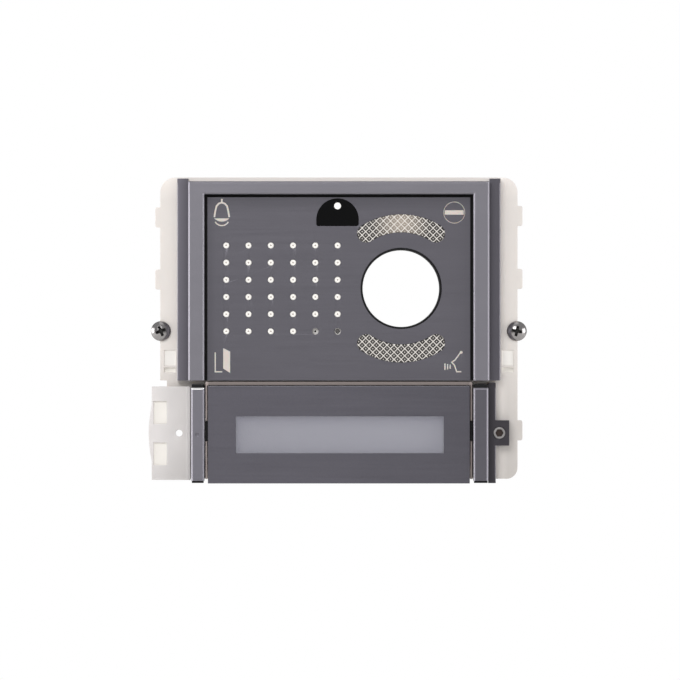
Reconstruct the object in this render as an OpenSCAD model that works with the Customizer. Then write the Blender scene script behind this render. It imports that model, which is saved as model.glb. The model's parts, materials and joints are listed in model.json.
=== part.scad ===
// Video door intercom panel: a one-module outdoor station for a flush wall box.
// Millimetres. +Z is up, the front faces -Y and +X is right as seen from the front.
// The origin is midway between the two mounting screws, in the plane where the wings seat.

/* [Upper frame] */
// Width of the upper frame over its side flanges
frame_w = 125; // [123:0.5:127]
// Height of the upper frame's rails
frame_h = 77; // [76:0.5:79]
// How far the upper frame reaches below the line of the mounting screws
frame_drop = 19.1; // [18:0.1:20]
// How far the frame's rails stand in front of the chassis
frame_stand = 9; // [8.8:0.1:10]
// Width of each low side flange
flange_w = 4.3; // [3.5:0.1:5]
// How far the side flanges stand in front of the chassis
flange_stand = 4.6; // [3.6:0.1:5.6]
// How far the side flanges reach above the top bar
flange_rise = 1.1; // [0.5:0.1:1.5]
// Width of each raised side rail
rail_w = 6.2; // [5.8:0.1:6.8]
// Height of the top bar
top_bar_h = 5; // [4.4:0.1:5.6]
// Wall of the frame's hollow rails
frame_wall = 1.4; // [1.2:0.1:1.5]
// Chamfer along the rails' front edges
rail_chamfer = 0.6; // [0.3:0.1:0.9]

/* [Front plate] */
// Gap between the front plate and the frame
shadow_gap = 1.2; // [0.9:0.1:1.5]
// How far the front plate lies behind the rails
plate_recess = 2.4; // [2.2:0.1:2.6]
// Thickness of the metal front plate
plate_t = 1.6; // [1.4:0.1:1.8]
// Diameter of each speaker hole
speaker_hole_d = 2.5; // [2:0.1:3]
// Columns of speaker holes
speaker_cols = 6; // [4:1:6]
// Rows of speaker holes
speaker_rows = 6; // [4:1:6]
// Distance between columns of speaker holes
speaker_pitch_x = 8.61; // [7.5:0.01:8.7]
// Distance between rows of speaker holes
speaker_pitch_z = 6.64; // [6:0.01:6.8]
// Distance of the loudspeaker to the left of the panel's centre line
speaker_left = 22; // [21.8:0.1:22.4]
// Height of the loudspeaker and camera above the plate's middle
speaker_up = 0.2; // [-0.3:0.1:0.7]
// Diameter of the loudspeaker
speaker_d = 44; // [42:0.5:44]

/* [Camera bay] */
// Distance of the camera to the right of the panel's centre line
camera_right = 24.1; // [23.8:0.1:24.5]
// Clear bore through the camera collar
camera_bore_d = 29.8; // [28:0.1:30]
// Width of the collar's black front ring
collar_ring_w = 0.7; // [0.5:0.1:0.9]
// Inner radius of the illuminators, about the camera
lens_in_r = 21.7; // [21.2:0.1:22]
// Outer radius of the illuminators, about the camera
lens_out_r = 28.6; // [28:0.1:29]
// Half of the angle between the two round ends of an illuminator, in degrees
lens_half_angle = 32.5; // [28:0.5:33]

/* [Sensor window and symbols] */
// Radius of the half-moon sensor window
sensor_r = 8.2; // [7.6:0.1:8.3]
// Height of the half-moon window's straight sides
sensor_skirt = 2.5; // [2:0.1:3]
// Diameter of the sensor window's light pipe
sensor_pipe_d = 2.6; // [2:0.1:3]
// Height of the bell symbol
bell_h = 10.7; // [10:0.1:11]
// Radius of the busy symbol
busy_r = 4.25; // [4:0.05:4.4]
// Height of the door symbol
door_h = 9.6; // [9:0.1:10]
// Height of the talk symbol
talk_h = 8.3; // [7.8:0.1:8.8]
// Width of the symbols' lines
symbol_line = 0.66; // [0.5:0.02:0.8]

/* [Call button] */
// Gap between the upper frame and the call button
section_gap = 2.1; // [2:0.1:2.6]
// Height of the call button
button_h = 37.7; // [37:0.1:38.4]
// How far the call button lies behind the rails
button_recess = 1; // [0.8:0.1:1.1]
// Thickness of the call button's metal plate
button_t = 1.2; // [1:0.1:1.3]
// Gap between the call button and each rail
button_side_gap = 1.4; // [1.3:0.1:1.6]
// Travel of the call button
button_travel = 1.5; // [1:0.1:1.5]
// Width of the name window
window_w = 80.5; // [70:0.5:84]
// Height of the name window
window_h = 14.4; // [12:0.1:16]

/* [Lower rails and tray] */
// Width of the lower left rail
left_rail_w = 5.1; // [4.8:0.1:5.6]
// Width of the lower right rail
right_rail_w = 5.8; // [5.4:0.1:6.2]
// Width of the lower right rail's flange
lower_flange_w = 2.9; // [2.4:0.1:3.4]
// How far the fixing lug reaches beyond that flange
lug_w = 5.2; // [4.8:0.1:5.6]
// Height of the fixing lug
lug_h = 9.8; // [8:0.1:11]
// Width of the tray's grip, beside the left rail
grip_w = 15; // [13:0.1:15.4]
// Height of the tray's grip
grip_h = 36.2; // [34:0.1:37]
// How far the grip's outer edge bows out
grip_bow = 1.2; // [0.6:0.1:1.6]
// Height of the tray's tongue, which carries the card
tongue_h = 20; // [18:0.1:20.6]

/* [Chassis and housing] */
// How far each wing of the chassis reaches beyond the frame
wing_w = 6.7; // [6.5:0.1:7]
// Thickness of the chassis plate
chassis_t = 2; // [1.8:0.1:2.2]
// How far the chassis reaches above the frame
chassis_over = 1.6; // [1.3:0.1:2.4]
// How far the chassis stops short of the button's lower edge
chassis_short = 1.7; // [1:0.1:2.2]
// Radius of the chassis's top corners
chassis_top_r = 5.8; // [4:0.1:6]
// Radius of the chassis's bottom corners
chassis_bottom_r = 4.3; // [3:0.1:5]
// How far the clip tabs stand out of the wings
tab_out = 1.9; // [1:0.1:2.2]
// How far the middle of each mounting screw lies inside the edge of its wing
screw_inset = 0.3; // [0:0.1:0.5]
// How far the rear housing's sides lie inside the frame's
housing_inset = 11; // [10.8:0.1:11.2]
// Depth of the rear housing behind the wings
housing_d = 20; // [19.8:0.1:22]
// Wall of the rear housing
housing_wall = 2; // [1.8:0.1:2.1]

/* [Clearances] */
// Gap between pieces that are fixed to each other
fixed_gap = 0.1; // [0.05:0.01:0.15]
// Gap between pieces that move past each other
moving_gap = 0.3; // [0.25:0.01:0.32]

/* [Hidden] */
$fn = 48;
// Overrun of every cut past the face that it starts from
over = 0.5;
// Steps of each drawn arc
arc_steps = 24;
corner_steps = 8;

// Planes across the depth, from the front to the back
carrier_t = 2;
board_t = 1.6;
led_h = 0.8;
led_gap = 0.3;
button_carrier_t = 0.9;
button_board_t = 1.2;
backlight_h = 0.6;
chassis_y = -chassis_t;
frame_y = chassis_y - frame_stand;
flange_y = chassis_y - flange_stand;
plate_y = frame_y + plate_recess;
plate_back = plate_y + plate_t;
carrier_back = plate_back + carrier_t;
board_y = chassis_y - board_t;
led_y = board_y - led_h;
guide_back = led_y - led_gap;
button_y = frame_y + button_recess;
button_back = button_y + button_t;
button_carrier_back = button_back + button_carrier_t;
button_board_y = chassis_y - button_board_t;
backlight_y = button_board_y - backlight_h;

// Places across the width
frame_x = frame_w / 2;
rail_out = frame_x - flange_w;
rail_in = rail_out - rail_w;
plate_x = rail_in - shadow_gap;
button_x = rail_in - button_side_gap;
chassis_x = frame_x + wing_w;
screw_x = chassis_x - screw_inset;
housing_x = frame_x - housing_inset;
housing_in_x = housing_x - housing_wall;

// Places up the height
housing_margin_top = 5.5;
housing_margin_bottom = 5.2;
housing_corner_r = 3;
frame_bottom = -frame_drop;
frame_top = frame_bottom + frame_h;
bar_bottom = frame_top - top_bar_h;
plate_top = bar_bottom - shadow_gap;
button_top = frame_bottom - section_gap;
button_bottom = button_top - button_h;
button_z = (button_top + button_bottom) / 2;
chassis_top = frame_top + chassis_over;
chassis_bottom = button_bottom + chassis_short;
housing_top = chassis_top - housing_margin_top;
housing_bottom = chassis_bottom + housing_margin_bottom;

// Plate that the sizes of the camera, loudspeaker and window are given for, and the real one's share of it
nominal_plate_w = 101.6;
nominal_plate_h = 70.8;
width_share = 2 * plate_x / nominal_plate_w;
height_share = (plate_top - frame_bottom) / nominal_plate_h;
round_share = min(width_share, height_share);
middle_z = (plate_top + frame_bottom) / 2 + speaker_up;

// Ledge inside the frame, and the seal that lies on it under the plate's edge
ledge_w = 2.6;
ledge_t = 1;
seal_t = 0.8;
ledge_y = plate_back + seal_t;
ledge_x = rail_in - ledge_w;
ledge_z = bar_bottom - ledge_w;

// Plate carrier with its four posts and the pips that fill all but the last speaker holes
sound_hole_d = 0.7;
pip_sink = 0.2;
open_holes = 2;
mic_hole_d = 1.8;
post_r = 1.6;
post_inset = 2.5;
post_up = 19.5;
post_down = 18.5;
carrier_x = ledge_x - fixed_gap;
carrier_top = ledge_z - fixed_gap;
post_x = carrier_x - post_inset;
post_places = [
    [-post_x, middle_z + post_up * height_share],
    [post_x, middle_z + post_up * height_share],
    [-post_x, middle_z - post_down * height_share],
    [post_x, middle_z - post_down * height_share]
];

// Loudspeaker
foam_t = 0.8;
foam_w = 2.5;
basket_flange_t = 1;
basket_rim_w = 2;
basket_wall = 0.8;
basket_depth = 7.2;
cone_t = 0.5;
cone_depth = 5;
cone_gap = 0.4;
coil_r = 6;
cap_rise = 1.6;
magnet_r = 11;
magnet_t = 4;
magnet_plate_t = 1;
speaker_ring_wall = 1.5;
speaker_lip_w = 1.1;
speaker_lip_t = 0.8;
speaker_x = -speaker_left * width_share;
speaker_z = middle_z;
speaker_r = round_share * speaker_d / 2;
hole_pitch_x = speaker_pitch_x * width_share;
hole_pitch_z = speaker_pitch_z * height_share;
basket_y = carrier_back + foam_t;
basket_back = basket_y + basket_flange_t;
speaker_ring_in = speaker_r + moving_gap;
speaker_ring_out = speaker_ring_in + speaker_ring_wall;
magnet_y = basket_back + basket_depth;

// Microphone, behind the last speaker hole
mic_r = 2;
mic_boot_wall = 0.8;
mic_boot_front = 0.3;
mic_x = speaker_x + hole_pitch_x * (speaker_cols - 1) / 2;
mic_z = speaker_z - hole_pitch_z * (speaker_rows - 1) / 2;

// Camera collar
collar_step = 1;
collar_flange_w = 1.6;
collar_sink = 0.2;
camera_x = camera_right * width_share;
camera_z = middle_z;
camera_r = round_share * camera_bore_d / 2;
collar_front_r = camera_r + collar_ring_w;
collar_r = collar_front_r + collar_step;
camera_hole_r = collar_front_r + fixed_gap;

// Illuminators
lens_sink = 0.1;
lens_lip = 0.5;
lens_back_gap = 0.4;
lens_back = carrier_back - lens_back_gap;
lens_near_r = lens_in_r * round_share;
lens_far_r = lens_out_r * round_share;
lens_mid_r = (lens_near_r + lens_far_r) / 2;

// Sensor window
sensor_x = -0.5;
sensor_margin = 0.4;
sensor_corner_r = 0.8;
sensor_lip = 0.25;
sensor_pipe_share = 0.645;
sensor_z = plate_top - sensor_margin - sensor_r;
sensor_bottom = sensor_z - sensor_skirt;
sensor_pipe_z = sensor_z + sensor_pipe_share * sensor_r;
sensor_pipe_r = sensor_pipe_d / 2;

// Symbols: the distances of their middles from the plate's sides and of their ends from its edges
bell_side = 5.55;
bell_margin = 0.6;
busy_side = 6.2;
busy_margin = 1.6;
busy_bar_h = 1.7;
busy_groove_t = 0.3;
busy_groove_w = 0.35;
busy_land = 0.15;
door_side = 5.8;
talk_side = 6.6;
symbol_foot = 2.9;
block_margin = 0.1;
hair_gap = 0.02;
dot_r = 0.55;
thin_line_share = 0.7;
bell_x = -plate_x + bell_side;
bell_bottom = plate_top - bell_margin - bell_h;
busy_x = plate_x - busy_side;
busy_z = plate_top - busy_margin - busy_r;
door_x = -plate_x + door_side;
door_bottom = frame_bottom + symbol_foot;
talk_x = plate_x - talk_side;
talk_bottom = frame_bottom + symbol_foot;

// Places along each symbol, as shares of its height, from its lower middle
bell_crown_share = [0, 0.87];
bell_side_share = [[0.11, 0.83], [0.19, 0.74], [0.235, 0.55], [0.27, 0.34]];
bell_stem_share = [[0, 0.86], [0, 1]];
bell_lip_share = [0.27, 0.295, 0.115];
bell_clapper_share = [0.24, 0.17, 0.135];
door_frame_share = [[-0.29, 0.83], [-0.29, 0.047], [-0.005, 0.047]];
door_leaf_share = [[0.03, 1], [0.31, 0.865], [0.31, 0], [0.03, 0.18]];
door_fold_share = 0.185;
talk_face_share = [[0.34, 0.95], [0.08, 0.6], [-0.07, 0.5], [0.06, 0.36], [0.16, 0.06], [0.38, 0.06]];
talk_dash_share = [[-0.385, 0.14, 0.44], [-0.26, 0.17, 0.42], [-0.14, 0.2, 0.39]];
talk_dot_share = [0.373, 0.96];
bell_half = bell_side_share[3][0] * bell_h + symbol_line / 2;
busy_in_r = busy_r - busy_groove_w - busy_land;
busy_bar_x = sqrt(busy_in_r * busy_in_r - busy_bar_h * busy_bar_h / 4);

// Light board
board_inset = 0.4;
board_foot = 1.6;
board_hole_gap = 0.3;
led_w = 1.6;
led_angle = 15;
light_board_x = carrier_x - board_inset;
light_board_top = carrier_top - board_inset;
light_board_bottom = frame_bottom + board_foot;
led_places = concat(
    [
        for (middle = [90, 270], step = [-2 : 2])
            let (a = middle + step * led_angle)
            [camera_x + lens_mid_r * cos(a), camera_z + lens_mid_r * sin(a)]
    ],
    [
        [bell_x, bell_bottom + bell_h / 2],
        [busy_x, busy_z],
        [door_x, door_bottom + door_h / 2],
        [talk_x, talk_bottom + talk_h / 2],
        [sensor_x, sensor_pipe_z]
    ]
);

// Chassis
aperture_inset = 4.4;
wing_step = 2.6;
ear_r = 3.4;
ear_hole_r = 1.85;
ear_counter_r = 2.7;
ear_counter_t = 0.8;
tab_h = 7.8;
tab_corner = 0.8;
tab_left_z = [44, 20];
tab_right_z = [44.6, 20.2, -38.4];
pocket_w = 4.4;
pocket_h = 6;
pocket_t = 0.6;
pocket_z = -10.4;
pocket_side = 1.6;
slot_h = 1.9;
slot_drop = 4.6;
slot_floor = 0.5;
spring_cup_in_r = 2.6;
spring_cup_wall = 0.7;
spring_cup_h = 1.2;
seat_groove_t = 0.4;
wire_hole_w = 22;
wire_hole_h = 8;
boss_r = 2.8;
boss_inset_x = 3.5;
boss_split_share = 0.5;
pocket_x = chassis_x - pocket_side - pocket_w / 2;
aperture_x = light_board_x - aperture_inset;
aperture_top = light_board_top - aperture_inset;
aperture_bottom = light_board_bottom + aperture_inset;
wing_step_z = frame_bottom;
boss_x = housing_in_x - boss_inset_x;
boss_top = housing_top - housing_wall - boss_r - fixed_gap;
boss_bottom = housing_bottom + housing_wall + boss_r + fixed_gap;
boss_split_y = housing_d * boss_split_share;
boss_places = [[-boss_x, boss_top], [boss_x, boss_top], [-boss_x, boss_bottom], [boss_x, boss_bottom]];

// Screws that hold the pieces together
small_screw_r = 0.9;
small_pilot_r = 0.95;
small_pass_r = 1.1;
small_head_r = 1.8;
small_head_t = 1.15;
small_counter_r = 1.95;
small_head_sink = 0.15;
small_screw_bite = 4;
drive_slot_w = 0.5;
drive_slot_t = 0.5;
frame_screw_margin = 12;
frame_screw_boss_r = 1.75;
lower_screw_margin = 4;
board_screw_side = 20;
board_screw_up = 2;

// Mounting screws
mount_neck_r = 1.6;
mount_thread_r = 2;
mount_thread_l = 14;
mount_thread_start = 0.1;
mount_tip = 1.2;
mount_head_r = 3.85;
mount_head_t = 2.4;
mount_head_gap = 0.2;
mount_head_edge = 0.5;
cross_w = 0.95;
cross_l = 4.4;
cross_t = 1.3;

// Main board and its standoffs
standoff_h = 3.4;
standoff_r = 2.5;
standoff_inset = 5;
main_board_side = 1;
main_board_edge = 0.7;
main_board_back = housing_d - housing_wall - standoff_h;
main_board_y = main_board_back - board_t;
main_board_x = housing_in_x - main_board_side;
main_board_top = boss_top - boss_r - main_board_edge;
main_board_bottom = boss_bottom + boss_r + main_board_edge;
standoff_x = main_board_x - standoff_inset;
standoff_top = main_board_top - standoff_inset;
standoff_bottom = main_board_bottom + standoff_inset;
standoff_places = [
    [-standoff_x, standoff_top],
    [standoff_x, standoff_top],
    [-standoff_x, standoff_bottom],
    [standoff_x, standoff_bottom]
];
chip_w = 9;
chip_t = 1.2;
can_r = 3;
can_l = 5;
chip_drop = 9;
can_apart = 9;

// Terminal plug and its header
plug_drop = 6.8;
plug_w = 25;
plug_h = 8.6;
plug_l = 8;
plug_gap = 0.4;
header_t = 2;
pin_r = 0.5;
pin_l = 5.4;
pin_hole_r = 0.65;
pin_end_gap = 0.4;
pin_count = 4;
pin_pitch = 5.6;
pin_up = 1.8;
wire_entry_r = 1.3;
wire_entry_t = 1.4;
plug_screw_r = 1.35;
plug_screw_well_r = 1.5;
plug_screw_t = 1.2;
plug_screw_well_t = 1.7;
plug_screw_drop = 1.9;
plug_x = speaker_x;
plug_z = button_top - plug_drop;
plug_y = main_board_back + header_t + plug_gap;

// Bus socket
socket_left = 8;
socket_w = 16;
socket_h = 7.6;
socket_l = 6;
socket_wall = 1.2;
socket_floor = 1.4;
socket_x = camera_x - socket_left;

// Trimmers
trimmer_w = 6.5;
trimmer_t = 2.4;
trimmer_r = 2;
trimmer_l = 3;
trimmer_sunk = 1;
trimmer_clear = 0.15;
trimmer_slot_w = 0.6;
trimmer_slot_t = 0.8;
trimmer_access_r = 2.7;
trimmer_apart = 12;
trimmer_rise = 10;
trimmer_z = frame_bottom + trimmer_rise;
trimmer_y = main_board_back + trimmer_t - trimmer_sunk;

// Button carrier with its guide lugs, spring pins and switch pin
carrier_edge = 0.8;
guide_lug_h = 7.4;
peg_r = 1.1;
peg_l = 1.5;
peg_inset_x = 6.6;
peg_inset_z = 4.1;
pad_r = 2;
pad_t = 0.4;
pin_shank_r = 0.7;
window_x = 0.35;
window_lip = 1;
window_sink = 0.2;
button_carrier_x = button_x - carrier_edge;
guide_lug_x = rail_in - moving_gap;
peg_x = button_x - peg_inset_x;
peg_top = button_top - peg_inset_z;
peg_bottom = button_bottom + peg_inset_z;
peg_places = [[-peg_x, peg_top], [peg_x, peg_top], [-peg_x, peg_bottom], [peg_x, peg_bottom]];
pad_y = button_carrier_back + pad_t;

// Return springs
spring_r = 1.95;
wire_r = 0.25;
spring_turns = 4.5;
spring_end_gap = 0.05;
spring_steps = 8;
spring_sides = 6;
spring_front = button_carrier_back + spring_end_gap + wire_r;
spring_back = chassis_y - spring_end_gap - wire_r;

// Call switch
contact_gap = 0.1;
switch_w = 5.6;
switch_t = 2.6;
plunger_r = 1.1;
plunger_clear = 0.1;
plunger_hold = 0.6;
switch_y = button_board_y - switch_t;
switch_z = peg_top;
plunger_tip = pad_y + contact_gap;
plunger_tail = switch_y + plunger_hold;

// Guide frame round the button
guide_wall = 0.6;
guide_top_wall = 1.3;
guide_top_gap = 0.3;
guide_sink = 0.8;
rib_t = 1;
rib_gap = 0.1;
guide_y = button_y + guide_sink;
guide_in = button_x + moving_gap;
guide_out = guide_in + guide_wall;
guide_top_in = button_top + guide_top_gap;
channel_top = button_z + tongue_h / 2 + moving_gap;
channel_bottom = button_z - tongue_h / 2 - moving_gap;

// Button board
button_board_side = 14.6;
button_board_edge = 2.4;
button_board_x = button_x - button_board_side;
button_board_top = button_top - carrier_edge;
button_board_bottom = button_bottom + button_board_edge;
board_screw_places = [
    [-board_screw_side, button_board_top - board_screw_up],
    [board_screw_side, button_board_top - board_screw_up],
    [-board_screw_side, button_board_bottom + board_screw_up],
    [board_screw_side, button_board_bottom + board_screw_up]
];
backlight_w = 1.6;
backlight_cols = 7;
backlight_pitch = 9;
backlight_apart = 8;

// Card tray
tray_gap = 0.4;
tongue_base_t = 0.8;
tongue_t = 1.8;
tongue_ledge_w = 1;
tongue_short = 6;
card_t = 0.35;
card_gap = 0.2;
card_left_gap = 8;
grip_t = 1.4;
grip_drop = 0.2;
grip_lip_w = 1.6;
grip_lip_h = 3;
grip_pane_w = 5.1;
grip_pane_h = 8.8;
grip_pane_t = 0.9;
grip_pane_up = 8;
grip_pane_side = 0.7;
grip_hole_r = 1.3;
grip_hole_in = 4.4;
stop_t = 1.2;
slot_clear = 0.3;
bow_span_share = 0.6;
lug_rise = 1.45;
lug_z = button_z + lug_rise;
tray_back = backlight_y - tray_gap;
tongue_y = tray_back - tongue_t;
tongue_base_y = tray_back - tongue_base_t;
tongue_end = button_x - tongue_short;
stop_x = tongue_end + moving_gap;
grip_y = tray_back - grip_t;
grip_right = -(rail_in + left_rail_w + moving_gap);
grip_left = grip_right - grip_w;
card_start = grip_right + card_left_gap;
grip_top = button_top - grip_drop;
grip_bottom = grip_top - grip_h;
grip_z = (grip_top + grip_bottom) / 2;

// Lower rails, their caps and the lock screw
rail_foot = 1;
rail_head = 0.7;
flange_foot = 0.1;
flange_head = 1.2;
cap_foot_t = 0.8;
cap_head_t = 1.3;
cap_inset = 0.3;
cap_sink = 0.7;
cap_plug_l = 2;
cap_plug_gap = 0.1;
dimple_r = 0.8;
dimple_t = 0.4;
dimple_side = 2.8;
lug_hole_r = 1.45;
lug_counter_r = 2.4;
lock_in = 3.8;
lock_up = 0.65;
lock_ring_r = 2.25;
lock_head_t = 1.4;
lock_proud = 0.3;
lock_seat_gap = 0.1;
lock_socket_r = 1.6;
lock_socket_t = 1;
lock_shank_r = 1.2;
lock_tail_gap = 0.6;
lock_floor = 0.4;
lower_rail_bottom = button_bottom + rail_foot;
lower_rail_top = button_top - rail_head;
lower_flange_x = rail_in + right_rail_w + lower_flange_w;
lug_x = lower_flange_x + lug_w;
lock_x = lug_x - lock_in;
lock_z = button_z + lock_up;
lock_y = flange_y - lock_proud;
frame_screw_places = [
    [-(rail_in + rail_w / 2), frame_top - frame_screw_margin],
    [rail_in + rail_w / 2, frame_top - frame_screw_margin],
    [-(rail_in + rail_w / 2), frame_bottom + frame_screw_margin],
    [rail_in + rail_w / 2, frame_bottom + frame_screw_margin]
];
left_screw_places = [
    [-(rail_in + left_rail_w / 2), lower_rail_top - lower_screw_margin],
    [-(rail_in + left_rail_w / 2), lower_rail_bottom + lower_screw_margin]
];
right_screw_places = [
    [rail_in + right_rail_w / 2, lower_rail_top - lower_screw_margin],
    [rail_in + right_rail_w / 2, lower_rail_bottom + lower_screw_margin]
];

// Points of an arc about a centre, from one angle to another
function arc_points(x, z, r, from, to, steps) =
    [for (i = [0 : steps]) let (a = from + (to - from) * i / steps) [x + r * cos(a), z + r * sin(a)]];

// Outline of a rectangle with four rounded corners
function rounded_points(x0, x1, z0, z1, r) = concat(
    arc_points(x1 - r, z1 - r, r, 0, 90, corner_steps),
    arc_points(x0 + r, z1 - r, r, 90, 180, corner_steps),
    arc_points(x0 + r, z0 + r, r, 180, 270, corner_steps),
    arc_points(x1 - r, z0 + r, r, 270, 360, corner_steps)
);

// Points of a shallow arc that hangs below two points at the same height
function hanging_points(x, z, half, sag) =
    let (r = (half * half + sag * sag) / (2 * sag), a = asin(half / r))
    arc_points(x, z - sag + r, r, 270 - a, 270 + a, corner_steps);

// Outline of an illuminator about the camera: two arcs joined by round ends
function lens_points(in_r, out_r, middle) =
    let (
        end_r = (out_r - in_r) / 2,
        mid_r = (out_r + in_r) / 2,
        a0 = middle - lens_half_angle,
        a1 = middle + lens_half_angle
    )
    concat(
        arc_points(camera_x, camera_z, out_r, a0, a1, arc_steps),
        arc_points(camera_x + mid_r * cos(a1), camera_z + mid_r * sin(a1), end_r, a1 + 15, a1 + 165, corner_steps),
        arc_points(camera_x, camera_z, in_r, a1, a0, arc_steps),
        arc_points(camera_x + mid_r * cos(a0), camera_z + mid_r * sin(a0), end_r, a0 + 195, a0 + 345, corner_steps)
    );

// Points of a shallow dome, from its rim to its top on the axis, as radius against depth
function dome_points(r, y, rise) =
    let (ball = (r * r + rise * rise) / (2 * rise), a = asin(r / ball))
    [for (i = [corner_steps : -1 : 0]) let (t = a * i / corner_steps) [ball * sin(t), y - rise + ball * (1 - cos(t))]];

// Places on a symbol from its shares of a height
function placed(shares, x, z, h) = [for (s = shares) [x + s[0] * h, z + s[1] * h]];
function mirrored(shares) = [for (s = shares) [-s[0], s[1]]];

// A block between two corners
module block(x0, x1, y0, y1, z0, z1) {
    translate([x0, y0, z0])
        cube([x1 - x0, y1 - y0, z1 - z0]);
}

// A block of a width and a height about a middle
module block_at(x, z, w, h, y0, y1) {
    block(x - w / 2, x + w / 2, y0, y1, z - h / 2, z + h / 2);
}

// A flat shape drawn as seen from the front, given its depth
module slab(y0, y1) {
    translate([0, y1, 0])
        rotate([90, 0, 0])
            linear_extrude(y1 - y0)
                children();
}

// A round bar along the depth
module bar(x, z, r, y0, y1) {
    translate([x, y1, z])
        rotate([90, 0, 0])
            cylinder(r = r, h = y1 - y0);
}

// A ring along the depth
module ring(x, z, out_r, in_r, y0, y1) {
    difference() {
        bar(x, z, out_r, y0, y1);
        bar(x, z, in_r, y0 - over, y1 + over);
    }
}

// A shape turned about an axis along the depth, drawn as radius against depth
module turned(x, z) {
    translate([x, 0, z])
        rotate([-90, 0, 0])
            rotate_extrude()
                children();
}

// One edge of a line of a width through a row of points, with mitred corners
function line_edge(points, offset) = [
    for (i = [0 : len(points) - 1])
        let (
            p = points[max(i - 1, 0)],
            q = points[min(i + 1, len(points) - 1)],
            into = i > 0 ? (points[i] - p) / norm(points[i] - p) : (q - points[i]) / norm(q - points[i]),
            away = q == points[i] ? into : (q - points[i]) / norm(q - points[i])
        )
        points[i] + offset * [-into[1] - away[1], into[0] + away[0]] / (1 + into * away)
];

function reversed(list) = [for (i = [len(list) - 1 : -1 : 0]) list[i]];

module line(points, w) {
    polygon(concat(line_edge(points, w / 2), reversed(line_edge(points, -w / 2))));
}

// Speaker hole centres
module at_speaker_holes(left_out) {
    for (j = [0 : speaker_rows - 1]) {
        for (i = [0 : speaker_cols - 1 - (j == speaker_rows - 1 ? left_out : 0)]) {
            translate([
                speaker_x + hole_pitch_x * (i - (speaker_cols - 1) / 2),
                0,
                speaker_z - hole_pitch_z * (j - (speaker_rows - 1) / 2)
            ])
                children();
        }
    }
}

// Symbol outlines, drawn with a little extra width where they are cut out of the plate
module bell_lines(extra) {
    sides = concat(mirrored(reversed(bell_side_share)), [bell_crown_share], bell_side_share);
    line(placed(sides, bell_x, bell_bottom, bell_h), symbol_line + extra);
    line(placed(bell_stem_share, bell_x, bell_bottom, bell_h), symbol_line + extra);
}

module bell_lip(extra) {
    polygon(hanging_points(
        bell_x,
        bell_bottom + bell_lip_share[1] * bell_h + extra / 2,
        bell_lip_share[0] * bell_h + extra,
        bell_lip_share[2] * bell_h + extra
    ));
}

module bell_clapper(extra) {
    line(hanging_points(
        bell_x,
        bell_bottom + bell_clapper_share[1] * bell_h,
        bell_clapper_share[0] * bell_h,
        bell_clapper_share[2] * bell_h
    ), symbol_line * thin_line_share + extra);
}

module bell_shape(extra) {
    bell_lines(extra);
    bell_lip(extra);
    bell_clapper(extra);
}

module busy_bar(extra) {
    translate([busy_x - busy_bar_x - extra / 2, busy_z - busy_bar_h / 2 - extra / 2])
        square([2 * busy_bar_x + extra, busy_bar_h + extra]);
}

module door_frame_lines(extra) {
    line(placed(door_frame_share, door_x, door_bottom, door_h), symbol_line * thin_line_share + extra);
}

module door_leaf(extra) {
    polygon([
        for (s = door_leaf_share)
            [
                door_x + s[0] * door_h + sign(s[0] - door_fold_share) * extra / 2,
                door_bottom + s[1] * door_h + sign(s[1] - door_fold_share) * extra / 2
            ]
    ]);
}

module door_shape(extra) {
    door_frame_lines(extra);
    door_leaf(extra);
}

module talk_face(extra) {
    line(placed(talk_face_share, talk_x, talk_bottom, talk_h), symbol_line * thin_line_share + extra);
}

module talk_dashes(extra) {
    for (d = talk_dash_share) {
        line(placed([[d[0], d[1]], [d[0], d[2]]], talk_x, talk_bottom, talk_h), symbol_line * thin_line_share + extra);
    }
}

module talk_dot(extra) {
    translate([talk_x + talk_dot_share[0] * talk_h, talk_bottom + talk_dot_share[1] * talk_h])
        circle(r = dot_r + extra / 2);
}

module talk_shape(extra) {
    talk_face(extra);
    talk_dashes(extra);
    talk_dot(extra);
}

// Outline of the half-moon window, grown by an edge
module sensor_shape(edge) {
    r = sensor_r + edge;
    bottom = sensor_bottom - edge;
    corner = sensor_corner_r + edge;
    polygon(concat(
        arc_points(sensor_x, sensor_z, r, 0, 180, arc_steps),
        arc_points(sensor_x - r + corner, bottom + corner, corner, 180, 270, corner_steps),
        arc_points(sensor_x + r - corner, bottom + corner, corner, 270, 360, corner_steps)
    ));
}

// The same outline behind the plate, with its lip, cut off at a height
module sensor_lip_shape(edge, top) {
    intersection() {
        sensor_shape(sensor_lip + edge);
        translate([-carrier_x, 0])
            square([2 * carrier_x, top]);
    }
}

// A hollow rail with its low outer flange, seen along its length
module flanged_rail_shape(out_x, edge_x) {
    polygon([
        [rail_in, chassis_y],
        [rail_in, frame_y + rail_chamfer],
        [rail_in + rail_chamfer, frame_y],
        [out_x - rail_chamfer, frame_y],
        [out_x, frame_y + rail_chamfer],
        [out_x, flange_y],
        [edge_x - rail_chamfer / 2, flange_y],
        [edge_x, flange_y + rail_chamfer / 2],
        [edge_x, chassis_y],
        [edge_x - frame_wall, chassis_y],
        [edge_x - frame_wall, flange_y + frame_wall],
        [out_x - frame_wall, flange_y + frame_wall],
        [out_x - frame_wall, frame_y + frame_wall],
        [rail_in + frame_wall, frame_y + frame_wall],
        [rail_in + frame_wall, chassis_y]
    ]);
}

// Chamfer across the top end of a lower rail
module rail_end_cut(x0, x1) {
    translate([x0, 0, 0])
        rotate([90, 0, 90])
            linear_extrude(x1 - x0)
                polygon([
                    [frame_y - over, lower_rail_top + over],
                    [frame_y + rail_chamfer + over, lower_rail_top + over],
                    [frame_y - over, lower_rail_top - rail_chamfer - over]
                ]);
}

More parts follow.
